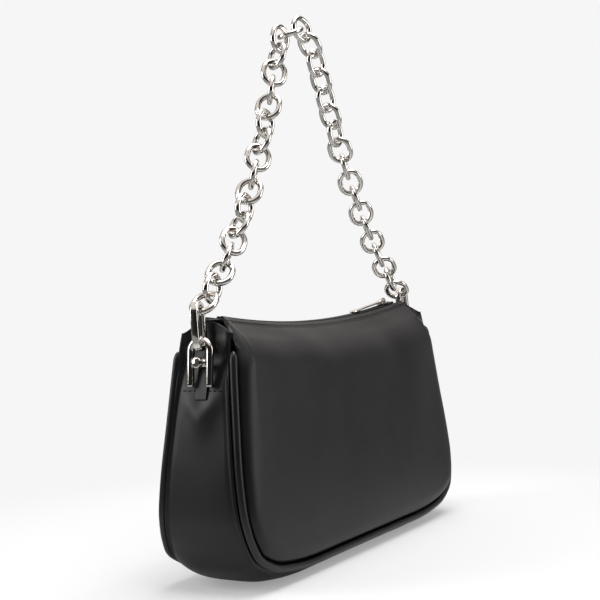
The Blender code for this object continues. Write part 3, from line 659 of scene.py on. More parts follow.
@dataclass
class BagShape:
    """The bag's own lines and surfaces, as its solids have them, in metres.

    The seam is a curve through SEAM's shares of the half length and of the height, from the
    middle of the base round one corner and up one end.
    """

    half_length: float = 0.1418
    seam_bottom: float = 0.0061
    seam_top: float = 0.1505
    corner_index: int = 5
    seam_steps: int = 8
    border_steps: int = 160
    share_step: float = 0.002
    find_steps: int = 2000
    depth_height: float = 0.160
    floor_half_depth: float = 0.0315
    top_half_depth: float = 0.0153
    depth_bow: float = -0.0010
    piping_top: float = 0.1406
    seam_change: float = 0.006
    panel_inset: float = 0.0052
    panel_step: float = 0.0030
    plain_inset: float = 0.0028
    plain_step: float = 0.0020
    bulge: float = 0.0042
    bulge_power: float = 3.2
    bulge_rise_power: float = 4.0
    bulge_fullness: float = 0.7
    roll: float = 0.0055
    roll_width: float = 0.0110
    roll_power: float = 3.0
    left_roll: float = 0.0042
    roll_change: tuple[float, float] = (-0.115, 0.130)
    shoulder_start: float = 0.80
    shoulder_power: float = 1.8
    face_step: float = 0.0015
    top_edge_y: float = 0.0045
    zip_end_y: float = 0.0060
    zip_half_length: float = 0.118
    zip_steps: int = 40
    zip_dip: float = 0.0087
    zip_middle: float = 0.1504
    sag: float = 0.0080
    sag_power: int = 4
    side_bulge: float = 0.0015
    bulge_height: float = 0.055
    bulge_spread: float = 0.030
    dent: float = 0.0042
    dent_power: int = 8
    dent_height: float = 0.142
    dent_spread: float = 0.020
    leather: float = 0.0016

    SEAM = ((0.0, 0.0), (0.3, 0.0), (0.54, 0.0), (0.709, 0.014), (0.824, 0.037), (0.924, 0.089),
            (0.966, 0.152), (0.989, 0.221), (1.0, 0.304), (0.993, 0.453), (0.970, 0.623),
            (0.937, 0.851), (0.922, 0.931), (0.906, 1.0))

    def __post_init__(self) -> None:
        """Work out the seam, the zip's arc and the panel's border."""
        self.zip_radius = (self.zip_half_length ** 2 + self.zip_dip ** 2) / (2 * self.zip_dip)
        self.zip_centre = self.zip_middle + self.zip_radius
        height = self.seam_top - self.seam_bottom
        points = np.array([(x * self.half_length, 0.0, self.seam_bottom + z * height)
                           for x, z in self.SEAM])
        right = catmull(points, self.seam_steps)
        left = right[::-1] * (-1, 1, 1)
        self.seam = Line(np.vstack([left, right[1:]]))
        corner = right[self.corner_index * self.seam_steps] * (-1, 1, 1)
        shares = np.linspace(0, 1, self.border_steps + 1)
        seam = self.seam.at(shares)
        plain = np.clip((seam[:, 2] - self.piping_top) / self.seam_change, 0, 1)
        inset = self.panel_inset + (self.plain_inset - self.panel_inset) * plain
        step = self.panel_step + (self.plain_step - self.panel_step) * plain
        border = seam - self.outward(shares) * inset[:, None]
        border[:, 1] = -self.half_depth(seam[:, 2]) - step
        near = int(np.argmin(np.linalg.norm(seam - corner, axis=1)))
        far = self.border_steps - near
        self.base = Line(border[near:far + 1])
        self.right = Line(border[far:])
        self.left = Line(border[:near + 1][::-1])
        x = np.linspace(-self.zip_half_length, self.zip_half_length, self.zip_steps + 1)
        top = np.stack([x, np.full_like(x, -self.top_edge_y), self.zip_height(x)], -1)
        top[[0, -1], 1] = -self.zip_end_y
        self.top = Line(np.vstack([self.left.points[-1], top, self.right.points[-1]]))
        self.rolled = np.vstack([self.left.points[::-1], self.base.points[1:-1], self.right.points])

    def half_depth(self, height: np.ndarray) -> np.ndarray:
        """Half the distance between the two seams.

        Args:
            height: heights over the floor.

        Returns:
            One half distance for each height.
        """
        share = height / self.depth_height
        straight = self.floor_half_depth + (self.top_half_depth - self.floor_half_depth) * share
        return straight + 4 * self.depth_bow * share * (1 - share)

    def outward(self, share: np.ndarray) -> np.ndarray:
        """Directions in the XZ plane that point out of the bag.

        Args:
            share: shares along the seam.

        Returns:
            One direction for each share.
        """
        share = np.asarray(share)
        along = self.seam.at(share + self.share_step) - self.seam.at(share - self.share_step)
        return unit(np.stack([along[..., 2], 0 * along[..., 0], -along[..., 0]], -1))

    def zip_height(self, x: np.ndarray) -> np.ndarray:
        """Height of the panels' top edges along the zip's arc."""
        return self.zip_centre - np.sqrt(self.zip_radius ** 2 - x * x)

    def roll_height(self, x: np.ndarray) -> np.ndarray:
        """How far the puffed edge stands out; it lies flatter toward the left end.

        Args:
            x: places along the bag.

        Returns:
            One height for each place.
        """
        start, length = self.roll_change
        share = eased(np.clip((x - start) / length, 0, 1))
        return self.left_roll + (self.roll - self.left_roll) * share

    def edge_roll(self, place: np.ndarray) -> np.ndarray:
        """How far the panel's puffed edge stands out, by how near its border is.

        Args:
            place: points of the panel.

        Returns:
            One offset for each point.
        """
        flat = place[..., (0, 2)].reshape(-1, 2)
        start = self.rolled[:-1][:, (0, 2)]
        along = self.rolled[1:][:, (0, 2)] - start
        near = np.full(len(flat), np.inf)
        for a, d in zip(start, along):
            t = np.clip(((flat - a) @ d) / (d @ d), 0, 1)
            near = np.minimum(near, np.hypot(*(flat - a - t[:, None] * d).T))
        share = np.minimum(near / self.roll_width, 1).reshape(place.shape[:-1])
        return self.roll_height(place[..., 0]) * np.sqrt(1 - (1 - share) ** self.roll_power)

    def panel_place(self, u: np.ndarray, v: np.ndarray, slack: bool = False) -> np.ndarray:
        """Points of the front panel's outer face.

        Args:
            u: shares along X.
            v: shares from the base to the top.
            slack: whether a gentle swell takes the place of the puffed edge, as in the lining.

        Returns:
            One point for each pair of shares.
        """
        u, v = np.clip(u, 0, 1), np.clip(v, 0, 1)
        base, top, left, right = self.base.at(u), self.top.at(u), self.left.at(v), self.right.at(v)
        uu, vv = u[..., None], v[..., None]
        corners = ((self.base.points[0] * (1 - uu) + self.base.points[-1] * uu) * (1 - vv)
                   + (self.left.points[-1] * (1 - uu) + self.right.points[-1] * uu) * vv)
        place = base * (1 - vv) + top * vv + left * (1 - uu) + right * uu - corners
        side = -(left * (1 - uu) + right * uu)[..., 1]
        inside = 1 - np.abs(2 * u - 1) ** self.bulge_power
        raised = 1 - (1 - v) ** self.bulge_rise_power
        swell = (np.maximum(inside, 0) * raised) ** self.bulge_fullness
        puff = self.roll * swell if slack else self.edge_roll(place)
        depth = side + self.bulge * swell + puff
        above = np.maximum((v - self.shoulder_start) / (1 - self.shoulder_start), 0)
        shoulder = above ** self.shoulder_power
        place[..., 1] = -(depth * (1 - shoulder) - top[..., 1] * shoulder)
        return place

    def panel_normal(self, u: np.ndarray, v: np.ndarray, slack: bool = False) -> np.ndarray:
        """Outward directions of the front panel's face.

        Args:
            u: shares along X.
            v: shares from the base to the top.
            slack: whether they are the slack form's.

        Returns:
            One direction for each pair of shares.
        """
        step = self.face_step
        along = self.panel_place(u + step, v, slack) - self.panel_place(u - step, v, slack)
        rise = self.panel_place(u, v + step, slack) - self.panel_place(u, v - step, slack)
        return unit(np.cross(along, rise))

    def panel_depth(self, u: np.ndarray, v: np.ndarray, depth: float, slack: bool = False) -> np.ndarray:
        """Points that lie at a depth under the front panel's outer face."""
        return self.panel_place(u, v, slack) - self.panel_normal(u, v, slack) * depth

    def gusset_place(self, share: np.ndarray, side: np.ndarray, depth: float = 0.0) -> np.ndarray:
        """Points of the gusset.

        Args:
            share: shares along the seam.
            side: from -1 to 1 across the strip.
            depth: how far under its outer face.

        Returns:
            One point for each pair.
        """
        seam, out = self.seam.at(share), self.outward(share)
        down = np.maximum(-out[..., 2], 0)
        upright = np.abs(out[..., 0])
        offset = self.sag * down * down * (1 - side ** self.sag_power)
        offset = offset + upright * self.side_bulge * (1 - side * side) * hump(
            seam[..., 2], self.bulge_height, self.bulge_spread)
        offset = offset - upright * self.dent * (1 - side ** self.dent_power) * hump(
            seam[..., 2], self.dent_height, self.dent_spread)
        place = seam + out * (offset - depth)[..., None]
        place[..., 1] = side * self.half_depth(seam[..., 2])
        place[..., 2] = np.maximum(place[..., 2], depth)
        return place

    def end_share(self, end: End, height: np.ndarray) -> np.ndarray:
        """Shares of the whole seam at which it passes some heights.

        Args:
            end: which end.
            height: the heights.

        Returns:
            One share for each height.
        """
        shares = np.linspace(0, 0.5, self.find_steps + 1)
        found = np.interp(-np.asarray(height), -self.seam.at(shares)[:, 2], shares)
        return found if end is End.LEFT else 1 - found

    def zip_frame(self, x: float) -> Matrix:
        """The frame of a piece on the zip.

        Args:
            x: its place along the bag.

        Returns:
            The matrix whose X axis follows the zip's arc.
        """
        turn = math.asin(x / self.zip_radius)
        return frame_matrix(Vector((math.cos(turn), 0.0, math.sin(turn))), Vector((0.0, 1.0, 0.0)),
                            Vector((x, 0.0, float(self.zip_height(np.array(x))))))


def grid_piece(name: str, places: np.ndarray) -> bpy.types.Object:
    """A sheet whose points are laid on a worked-out surface.

    Args:
        name: the piece's name.
        places: rows by columns by 3.

    Returns:
        The sheet, its rows along the grid's Y and its columns along its X.
    """
    rows, columns = places.shape[:2]
    deselect()
    bpy.ops.mesh.primitive_grid_add(x_subdivisions=columns - 1, y_subdivisions=rows - 1, size=2)
    sheet = bpy.context.object
    sheet.name = name
    flat = np.array([v.co for v in sheet.data.vertices])
    column = np.rint((flat[:, 0] + 1) / 2 * (columns - 1)).astype(int)
    row = np.rint((flat[:, 1] + 1) / 2 * (rows - 1)).astype(int)
    sheet.data.vertices.foreach_set("co", places[row, column].astype(np.float32).ravel())
    sheet.data.update()
    return sheet


def tube_piece(name: str, path: np.ndarray, section: np.ndarray, up: np.ndarray) -> bpy.types.Object:
    """A bar of one section carried along a path.

    Args:
        name: the piece's name.
        path: the path's points.
        section: rows of (side, up) offsets, or one such list for every point of the path.
        up: the section's up direction, one for all points or one for each.

    Returns:
        The bar, capped at both ends.
    """
    count = len(path)
    along = unit(np.vstack([path[1:], path[-1:]]) - np.vstack([path[:1], path[:-1]]))
    rise = np.broadcast_to(up, path.shape)
    rise = unit(rise - along * (rise * along).sum(-1, keepdims=True))
    side = np.cross(rise, along)
    sections = np.broadcast_to(section, (count, *np.asarray(section).shape[-2:]))
    rings = path[:, None] + side[:, None] * sections[..., :1] + rise[:, None] * sections[..., 1:]
    sides = rings.shape[1]
    faces = [(i + j, i + (j + 1) % sides, i + sides + (j + 1) % sides, i + sides + j)
             for i in range(0, (count - 1) * sides, sides) for j in range(sides)]
    faces += [tuple(reversed(range(sides))), tuple(range((count - 1) * sides, count * sides))]
    mesh = bpy.data.meshes.new(name)
    mesh.from_pydata([tuple(p) for p in rings.reshape(-1, 3)], [], faces)
    piece = bpy.data.objects.new(name, mesh)
    bpy.context.collection.objects.link(piece)
    return piece


def stitch_row(rows: list, length: float, radius: float) -> bpy.types.Object:
    """Many stitches as one piece: one is modelled, and the rest are its copies.

    Args:
        rows: a centre, a direction along and a direction out for each stitch.
        length: a stitch's length.
        radius: the thread's radius.

    Returns:
        The piece.
    """
    deselect()
    bpy.ops.mesh.primitive_uv_sphere_add(segments=8, ring_count=6, radius=radius)
    one = bpy.context.object
    for sign in (1, -1):
        edit(one, lambda co: co.z * sign > radius * 0.3, moved(0, 0, sign * (length / 2 - radius)))
    copies = []
    for centre, along, out in rows:
        along = Vector(along).normalized()
        side = Vector(out).normalized().cross(along).normalized()
        place = frame_matrix(side, along.cross(side), Vector(centre))
        copies.append(settle(duplicate(one, "stitch"), place))
    bpy.data.objects.remove(one)
    piece = join(copies, "stitches")
    smooth(piece, 60)
    return piece


@dataclass
class Panels:
    """The front and back panels, with turned top edges and a row of stitches along them.

    Each of the waves in the leather is a height, then its turns along X and along Z, where it
    starts, and how far it bends with the height.
    """

    shape: BagShape
    finishes: Finishes
    columns: int = 190
    rows: int = 130
    edge_width: float = 0.00055
    plain_share: float = 0.10
    top_weight: float = 1.5
    low_share: float = 0.35
    calm_over: tuple[float, float] = (0.03, 0.09)
    bend_turns: float = 38.0
    turned_from: float = 0.9
    lip: float = 0.00030
    lip_width: float = 0.0027
    lip_ramp: float = 0.0012
    groove: float = 0.00008
    groove_spread: float = 0.0006
    stitch_from: float = 0.03
    stitch_samples: int = 900
    stitch_reach: float = 0.06
    stitch_below: float = 0.0031
    stitch_pitch: float = 0.0038
    stitch_length: float = 0.0027
    stitch_radius: float = 0.00034

    WAVES = ((0.00022, 95, 0, 0.4, 1.1), (0.00030, 41, -43, 2.0, 0), (0.00006, 150, 17, 0, 0))

    def relief(self, place: np.ndarray, u: np.ndarray, v: np.ndarray) -> np.ndarray:
        """How far the leather stands out or in from the plain loft.

        Args:
            place: points of the plain loft.
            u: shares along the panel.
            v: shares up the panel.

        Returns:
            One offset for each point.
        """
        x, z = place[..., 0], place[..., 2]
        border = np.minimum(np.minimum(u, 1 - u), np.minimum(v, (1 - v) * self.top_weight))
        edge = eased(np.clip(border / self.plain_share, 0, 1))
        waves = sum(height * np.sin(x * along + z * up + start + bend * np.sin(z * self.bend_turns))
                    for height, along, up, start, bend in self.WAVES)
        calm, spread = self.calm_over
        fade = self.low_share + (1 - self.low_share) * np.clip((z - calm) / spread, 0, 1)
        half = self.shape.zip_half_length
        below = self.shape.zip_height(np.clip(x, -half, half)) - z
        lip = self.lip * np.clip((self.lip_width - below) / self.lip_ramp + 0.5, 0, 1)
        sunk = self.groove * hump(below, self.stitch_below, self.groove_spread)
        return edge * fade * waves + (lip - sunk) * (v > self.turned_from)

    def build(self) -> None:
        """Build both panels and their stitches."""
        u, v = np.meshgrid(crowded(self.columns), crowded(self.rows))
        plain = self.shape.panel_place(u, v)
        place = plain + self.shape.panel_normal(u, v) * self.relief(plain, u, v)[..., None]
        for side in Side:
            grid = place * side.flip
            panel = grid_piece("panel", grid if side is Side.FRONT else grid[:, ::-1])
            modify(panel, "SOLIDIFY", thickness=self.shape.leather, offset=-1)
            bevel(panel, self.edge_width, 2, 50)
            smooth(panel, 50)
            finish_piece(panel, f"{side.label}_panel_skin", Body.BAG, self.finishes.leather,
                         f"{side.label}_panel")
            self.build_stitches(side)

    def build_stitches(self, side: Side) -> None:
        """Lay a row of sunk stitches under one panel's top edge.

        Args:
            side: which panel.
        """
        u = np.linspace(self.stitch_from, 1 - self.stitch_from, self.stitch_samples)
        one, span = np.ones_like(u), self.stitch_reach
        edge = self.shape.panel_place(u, one) - self.shape.panel_place(u, one - span)
        drop = one - self.stitch_below / np.linalg.norm(edge, axis=1) * span
        line = Line(self.shape.panel_place(u, drop))
        normal = self.shape.panel_normal(u, drop)
        count = int(line.length / self.stitch_pitch)
        step, rows = self.shape.share_step, []
        for share in (np.arange(count) + 0.5) / count:
            along = line.at(share + step) - line.at(share - step)
            out = normal[int(share * len(u))]
            centre = line.at(share) + out * self.stitch_radius / 2
            rows.append([vector * side.flip for vector in (centre, along, out)])
        piece = stitch_row(rows, self.stitch_length, self.stitch_radius)
        finish_piece(piece, f"{side.label}_top_stitches", Body.BAG, self.finishes.thread)


@dataclass
class Gusset:
    """The strip that makes the base and both ends, and the tabs anchored to it."""

    shape: BagShape
    finishes: Finishes
    rows: int = 300
    columns: int = 34
    crowding: float = 0.72
    hem_rise: float = 0.0070
    hem_power: float = 1.2
    tab_half_width: float = 0.0040
    tab_below: float = 0.0215
    tab_above: float = 0.0030
    tab_thickness: float = 0.0012
    tab_edge: float = 0.0003
    tab_rows: int = 40
    tab_columns: int = 17
    stud_height: float = 0.1335
    fold: float = 0.0011
    fold_top: float = 0.098
    fold_length: float = 0.020
    fold_spread: float = 0.6
    fold_width: float = 0.32
    fold_height: float = 0.106
    fold_height_spread: float = 0.011
    fold_margin: float = 0.3
    ends_from: float = 0.115
    ends_change: float = 0.012
    wave: float = 0.0003
    wave_turns: float = 70.0
    wave_lean: float = 2.0
    bead: float = 0.0009
    bead_width: float = 0.0010
    bead_spread: float = 0.0006
    bead_top: float = 0.142
    bead_change: float = 0.010
    groove: float = 0.0005
    groove_place: float = 0.0028
    stitch_height: float = 0.1172
    stitch_span: float = 0.0125
    stitch_count: int = 8
    stitch_length: float = 0.0024
    stitch_radius: float = 0.0003
    stitch_lift: float = 0.0001

    def relief(self, place: np.ndarray, side: np.ndarray) -> np.ndarray:
        """How far the strip stands out from its plain form: folds under the tabs, beaded edges.

        Args:
            place: points of the plain strip.
            side: shares across it, from -1 to 1.

        Returns:
            One offset for each point.
        """
        x, z = place[..., 0], place[..., 2]
        inner = np.clip((1 - np.abs(side)) / self.fold_margin, 0, 1)
        ends = np.clip((np.abs(x) - self.ends_from) / self.ends_change, 0, 1)
        apart = np.clip((z - self.fold_top) / self.fold_length, 0, 1) * self.fold_spread
        folds = hump(side + apart, 0, self.fold_width) + hump(side - apart, 0, self.fold_width)
        folds = self.fold * folds * hump(z, self.fold_height, self.fold_height_spread)
        waves = self.wave * np.sin(z * self.wave_turns + side * self.wave_lean)
        border = (1 - np.abs(side)) * self.shape.half_depth(z)
        bead = self.bead * hump(border, self.bead_width, self.bead_spread)
        groove = self.groove * hump(border, self.groove_place, self.bead_width)
        low = np.clip((self.bead_top - z) / self.bead_change, 0, 1)
        return inner * ends * (folds + waves) + (bead - groove) * low

    def build(self) -> None:
        """Build the strip and the tabs."""
        share = np.linspace(0, 1, self.rows + 1)
        share = share - self.crowding * np.sin(2 * np.pi * share) / (2 * np.pi)
        side = np.sin(np.linspace(-1, 1, self.columns + 1) * np.pi / 2)
        side_grid, share_grid = np.meshgrid(side, share)
        place = self.shape.gusset_place(share_grid, side_grid)
        place = place + (self.shape.outward(share_grid)
                         * self.relief(place, side_grid)[..., None])
        place[..., 2] = np.maximum(place[..., 2], 0)
        place[[0, -1], :, 2] += self.hem_rise * (1 - side ** 2) ** self.hem_power
        strip = grid_piece("gusset", place)
        modify(strip, "SOLIDIFY", thickness=self.shape.leather, offset=-1)
        smooth(strip, 50)
        finish_piece(strip, "gusset_skin", Body.BAG, self.finishes.leather, "gusset")
        for end in End:
            self.build_tab(end)
            self.build_stitches(end)

    def build_stitches(self, end: End) -> None:
        """Lay the row of stitches that closes the gusset's facing under one arch.

        Args:
            end: which end.
        """
        reach = self.stitch_span / self.shape.half_depth(self.stitch_height)
        sides = np.linspace(-reach, reach, self.stitch_count)
        share = np.full_like(sides, self.shape.end_share(end, self.stitch_height))
        centre = self.shape.gusset_place(share, sides)
        out = self.shape.outward(share)
        lift = self.relief(centre, sides) + self.stitch_lift
        rows = [(c + o * up, (0.0, 1.0, 0.0), o) for c, o, up in zip(centre, out, lift)]
        piece = stitch_row(rows, self.stitch_length, self.stitch_radius)
        finish_piece(piece, f"{end.label}_facing_stitches", Body.BAG, self.finishes.thread)

    def build_tab(self, end: End) -> None:
        """Build one leather tab that follows the gusset under its arch.

        Args:
            end: which end.
        """
        heights = np.linspace(self.stud_height + self.tab_above,
                              self.stud_height - self.tab_below, self.tab_rows)
        reach = self.tab_half_width / self.shape.half_depth(heights)
        side_grid = np.linspace(-1, 1, self.tab_columns) * reach[:, None] * -end.value
        share_grid = np.repeat(self.shape.end_share(end, heights)[:, None], self.tab_columns, 1)
        place = self.shape.gusset_place(share_grid, side_grid, -GAP - self.tab_thickness)
        tab = grid_piece("tab", place)
        modify(tab, "SOLIDIFY", thickness=self.tab_thickness, offset=-1)
        bevel(tab, self.tab_edge, 2, 50)
        smooth(tab, 50)
        finish_piece(tab, f"{end.label}_anchor_tab_skin", Body.BAG, self.finishes.edge_leather,
                     f"{end.label}_anchor_tab")


@dataclass
class Piping:
    """A leather-wrapped cord in each seam, blunt at both ends."""

    shape: BagShape
    finishes: Finishes
    radius: float = 0.0023
    inset: float = 0.0018
    sides: int = 20
    steps: int = 600
    blunt_steps: float = 6.0
    least_share: float = 0.02

    def build(self) -> None:
        """Build both lengths."""
        shares = np.linspace(0, 1, self.steps + 1)
        seam = self.shape.seam.at(shares)
        keep = seam[:, 2] <= self.shape.piping_top
        seam, out = seam[keep], self.shape.outward(shares)[keep]
        path = seam - out * self.inset
        path[:, 1] = -self.shape.half_depth(seam[:, 2]) - self.radius - GAP
        turns = 2 * np.pi * (np.arange(self.sides) + 0.5) / self.sides
        circle = self.radius * np.stack([np.cos(turns), np.sin(turns)], -1)
        count = np.arange(len(path))
        ends = np.clip(np.minimum(count, count[::-1]) / self.blunt_steps, self.least_share, 1)
        section = circle * np.sqrt(1 - (1 - ends) ** 2)[:, None, None]
        for side in Side:
            cord = tube_piece("piping", path * side.flip, section, out * side.flip)
            face_out(cord)
            smooth(cord, 60)
            finish_piece(cord, f"{side.label}_piping_skin", Body.BAG, self.finishes.edge_leather,
                         f"piping_{side.label}")


@dataclass
class Zip:
    """The closed zip: tapes, coils, end tabs, the slider and its pull.

    The pull's outline, from its slot to its round end, is a place along it and a share of its
    half width.
    """

    shape: BagShape
    finishes: Finishes
    tape_drop: float = 0.0012
    tape: float = 0.0008
    tape_inner: float = 0.0006
    tape_share: float = 0.960
    tape_columns: int = 121
    tape_rows: int = 6
    coil_top: float = 0.0012
    coil_inner: float = 0.0005
    coil_outer: float = 0.0027
    tooth_pitch: float = 0.00125
    tooth_thickness: float = 0.00050
    tooth_wire_share: float = 0.32
    tooth_shift: float = 0.25
    end_margin: float = 0.0050
    tab_length: float = 0.0075
    tab_half_width: float = 0.0042
    tab_edge: float = 0.0003
    slider_x: float = 0.100
    slider_length: float = 0.0110
    slider_half_width: float = 0.0036
    slider_plate: float = 0.0009
    slider_bottom_half_width: float = 0.0021
    slider_edge: float = 0.00028
    waist_share: float = 0.70
    flare: float = 0.42
    flare_place: float = 0.45
    flare_spread: float = 0.42
    post_share: float = 0.6
    post_width: float = 0.0004
    bridge_length: float = 0.0064
    bridge_half_width: float = 0.0009
    bridge_rise: float = 0.0034
    bridge_bar: float = 0.0009
    bridge_sink: float = 0.0002
    bridge_steps: int = 13
    bridge_power: float = 0.55
    bridge_corner_share: float = 0.4
    pull_half_width: float = 0.0029
    pull_thickness: float = 0.0012
    pull_edge: float = 0.0003
    pull_root_share: float = 0.70
    pull_root: float = 0.0006
    pull_neck: float = 0.0025
    pull_neck_share: float = 0.85

    PULL_OUTLINE = ((-0.012, 0.66), (-0.028, 0.60), (-0.036, 0.66), (-0.041, 0.92), (-0.0445, 1.0),
                    (-0.0470, 0.86), (-0.0485, 0.55), (-0.0490, 0.20))

    def __post_init__(self) -> None:
        """Work out the slider's heights over the zip's arc, and where the slider stands."""
        self.deck = self.coil_top + GAP + self.slider_plate
        self.bottom = -self.tape_drop - self.tape - GAP
        self.slider_place = self.shape.zip_frame(self.slider_x)

    def build(self) -> None:
        """Build every part of the zip."""
        for side in Side:
            self.build_tape(side)
            self.build_coil(side)
        for end in End:
            self.build_end_tab(end)
        self.build_slider()
        self.build_pull()

    def shares(self, count: int) -> np.ndarray:
        """Shares of the panel's top border that lie along the zip.

        Args:
            count: how many shares.

        Returns:
            The shares, evenly spaced.
        """
        top = self.shape.top
        first = (np.linalg.norm(top.points[1] - top.points[0]) + self.end_margin) / top.length
        return np.linspace(first, 1 - first, count)

    def build_tape(self, side: Side) -> None:
        """Build one tape, from the coil to under its panel.

        Args:
            side: which tape.
        """
        u = self.shares(self.tape_columns)
        under = self.shape.leather + 2 * GAP
        one = np.ones_like(u)
        edge = self.shape.panel_depth(u, one, under)
        far = self.shape.panel_depth(u, one * self.tape_share, under)
        start = edge.copy()
        start[:, 1] = -self.tape_inner
        start[:, 2] = self.shape.zip_height(edge[:, 0]) - self.tape_drop
        steps = np.linspace(0, 1, self.tape_rows)
        rows = [start * (1 - t) + edge * t for t in steps]
        rows += [edge * (1 - t) + far * t for t in steps[1:]]
        place = np.stack(rows) * side.flip
        tape = grid_piece("tape", place[:, ::-1] if side is Side.FRONT else place)
        modify(tape, "SOLIDIFY", thickness=self.tape, offset=-1)
        smooth(tape, 50)
        finish_piece(tape, f"{side.label}_tape_skin", Body.BAG, self.finishes.tape,
                     f"zip_tape_{side.label}")

    def build_coil(self, side: Side) -> None:
        """Build one row of coil: a tooth is modelled and copied along the tape.

        Args:
            side: which row.
        """
        low, high = self.shape.panel_place(self.shares(2), np.ones(2))[:, 0]
        count = int((high - low) / self.tooth_pitch)
        height = self.coil_top + self.tape_drop - GAP
        full = 2 * (1 + self.tooth_wire_share)
        deselect()
        bpy.ops.mesh.primitive_torus_add(major_segments=10, minor_segments=5, major_radius=1.0,
                                         minor_radius=self.tooth_wire_share,
                                         rotation=(0, math.pi / 2, 0))
        tooth = settle(bpy.context.object, Matrix.Diagonal((
            self.tooth_thickness / self.tooth_wire_share, (self.coil_outer - self.coil_inner) / full,
            height / full, 1)))
        middle = Matrix.Translation((0, side.value * (self.coil_inner + self.coil_outer) / 2,
                                     self.coil_top - height / 2))
        teeth = []
        for i in range(count):
            x = low + (i + 0.5 + side.value * self.tooth_shift) * (high - low) / count
            teeth.append(settle(duplicate(tooth, "tooth"), self.shape.zip_frame(x) @ middle))
        bpy.data.objects.remove(tooth)
        coil = join(teeth, "coil")
        smooth(coil, 60)
        finish_piece(coil, f"{side.label}_coil_teeth", Body.BAG, self.finishes.nylon,
                     f"zip_coil_{side.label}")

    def build_end_tab(self, end: End) -> None:
        """Build the leather tab across the tapes at one end of the zip.

        Args:
            end: which end.
        """
        half = self.shape.zip_half_length
        height = float(self.shape.zip_height(np.array(half))) - self.tape_drop
        start = half - self.end_margin + self.shape.leather
        tab = box_piece((end.value * (start + self.tab_length / 2), 0, height - self.tape / 2),
                        (self.tab_length, 2 * self.tab_half_width, self.tape))
        modify(tab, "BEVEL", width=self.tab_edge, segments=3)
        smooth(tab)
        finish_piece(tab, f"{end.label}_zip_tab_skin", Body.BAG, self.finishes.edge_leather,
                     f"zip_end_tab_{end.label}")

    def slider_plate_piece(self, low: float, half_width: float, flare: float) -> bpy.types.Object:
        """One of the slider's plates.

        Args:
            low: the height of its underside.
            half_width: half its greatest width.
            flare: how much wider it grows toward its mouth, as a share.

        Returns:
            The plate.
        """
        plate = box_piece((0, 0, low + self.slider_plate / 2),
                          (self.slider_length, 2 * half_width * self.waist_share, self.slider_plate))
        edit(plate, None, lambda: bpy.ops.mesh.subdivide(number_cuts=3))
        for vertex in plate.data.vertices:
            along = vertex.co.x / (self.slider_length / 2)
            vertex.co.y *= 1 + flare * hump(along, self.flare_place, self.flare_spread)
        bevel(plate, self.slider_edge, 3, 40)
        return plate

    def build_slider(self) -> None:
        """Build the slider: two plates on a post, and the bridge over them."""
        deck, bottom, plate = self.deck, self.bottom, self.slider_plate
        rise = self.bridge_rise - self.bridge_bar / 2 + self.bridge_sink
        turns = np.linspace(0, np.pi, self.bridge_steps)
        path = np.stack([-self.bridge_length / 2 * np.cos(turns), 0 * turns,
                         deck - self.bridge_sink + rise * np.sin(turns) ** self.bridge_power], -1)
        bar, wide = self.bridge_bar / 2, self.bridge_half_width
        cut = bar * self.bridge_corner_share
        section = np.array([(-bar, -wide + cut), (-bar + cut, -wide), (bar - cut, -wide),
                            (bar, -wide + cut), (bar, wide - cut), (bar - cut, wide),
                            (-bar + cut, wide), (-bar, wide - cut)])
        parts = [self.slider_plate_piece(deck - plate, self.slider_half_width, self.flare),
                 self.slider_plate_piece(bottom - plate, self.slider_bottom_half_width, 0.0),
                 tube_piece("bridge", path, section, np.array((0.0, 1.0, 0.0))),
                 box_piece((0, 0, (deck - plate + bottom) / 2),
                           (self.slider_length * self.post_share, self.post_width, deck - bottom))]
        slider = settle(join(parts, "slider"), self.slider_place)
        face_out(slider)
        smooth(slider, 40)
        finish_piece(slider, "slider_dressed", Body.SLIDER, self.finishes.nickel, "zip_slider")

    def build_pull(self) -> None:
        """Build the slender pull, extruded from its root to its round end, and cut its slot."""
        height = self.deck + self.pull_thickness
        root = self.pull_thickness / 2
        slot_end = -self.bridge_length / 2 - self.bridge_bar
        outline = [(root, self.pull_root_share), (root - self.pull_root, 1.0), (slot_end, 1.0),
                   (slot_end - self.pull_neck, self.pull_neck_share), *self.PULL_OUTLINE]
        deselect()
        bpy.ops.mesh.primitive_plane_add(size=1)
        pull = bpy.context.object
        corners = [(outline[k][0], sign * outline[k][1]) for sign in (-1, 1) for k in (1, 0)]
        for vertex, (x, share) in zip(pull.data.vertices, corners):
            vertex.co = (x, share * self.pull_half_width, height)
        for (x_from, w_from), (x_to, w_to) in zip(outline[1:], outline[2:]):
            edit(pull, lambda co: co.x < x_from + NEAR, edges_drawn(x_to - x_from, 0, 0),
                 resized((1, w_to / w_from, 1), (x_to, 0, height)))
        modify(pull, "SOLIDIFY", thickness=self.pull_thickness, offset=0)
        bevel(pull, self.pull_edge, 3, 40)
        start = -root - GAP
        cutter = box_piece(((start + slot_end) / 2, 0, height),
                           (start - slot_end, 2 * (self.bridge_half_width + GAP),
                            4 * self.pull_thickness))
        modify(pull, "BOOLEAN", operation="DIFFERENCE", object=cutter, solver="EXACT")
        bpy.data.objects.remove(cutter)
        settle(pull, self.slider_place)
        smooth(pull, 40)
        finish_piece(pull, "pull_dressed", Body.PULL, self.finishes.nickel, "zip_pull")


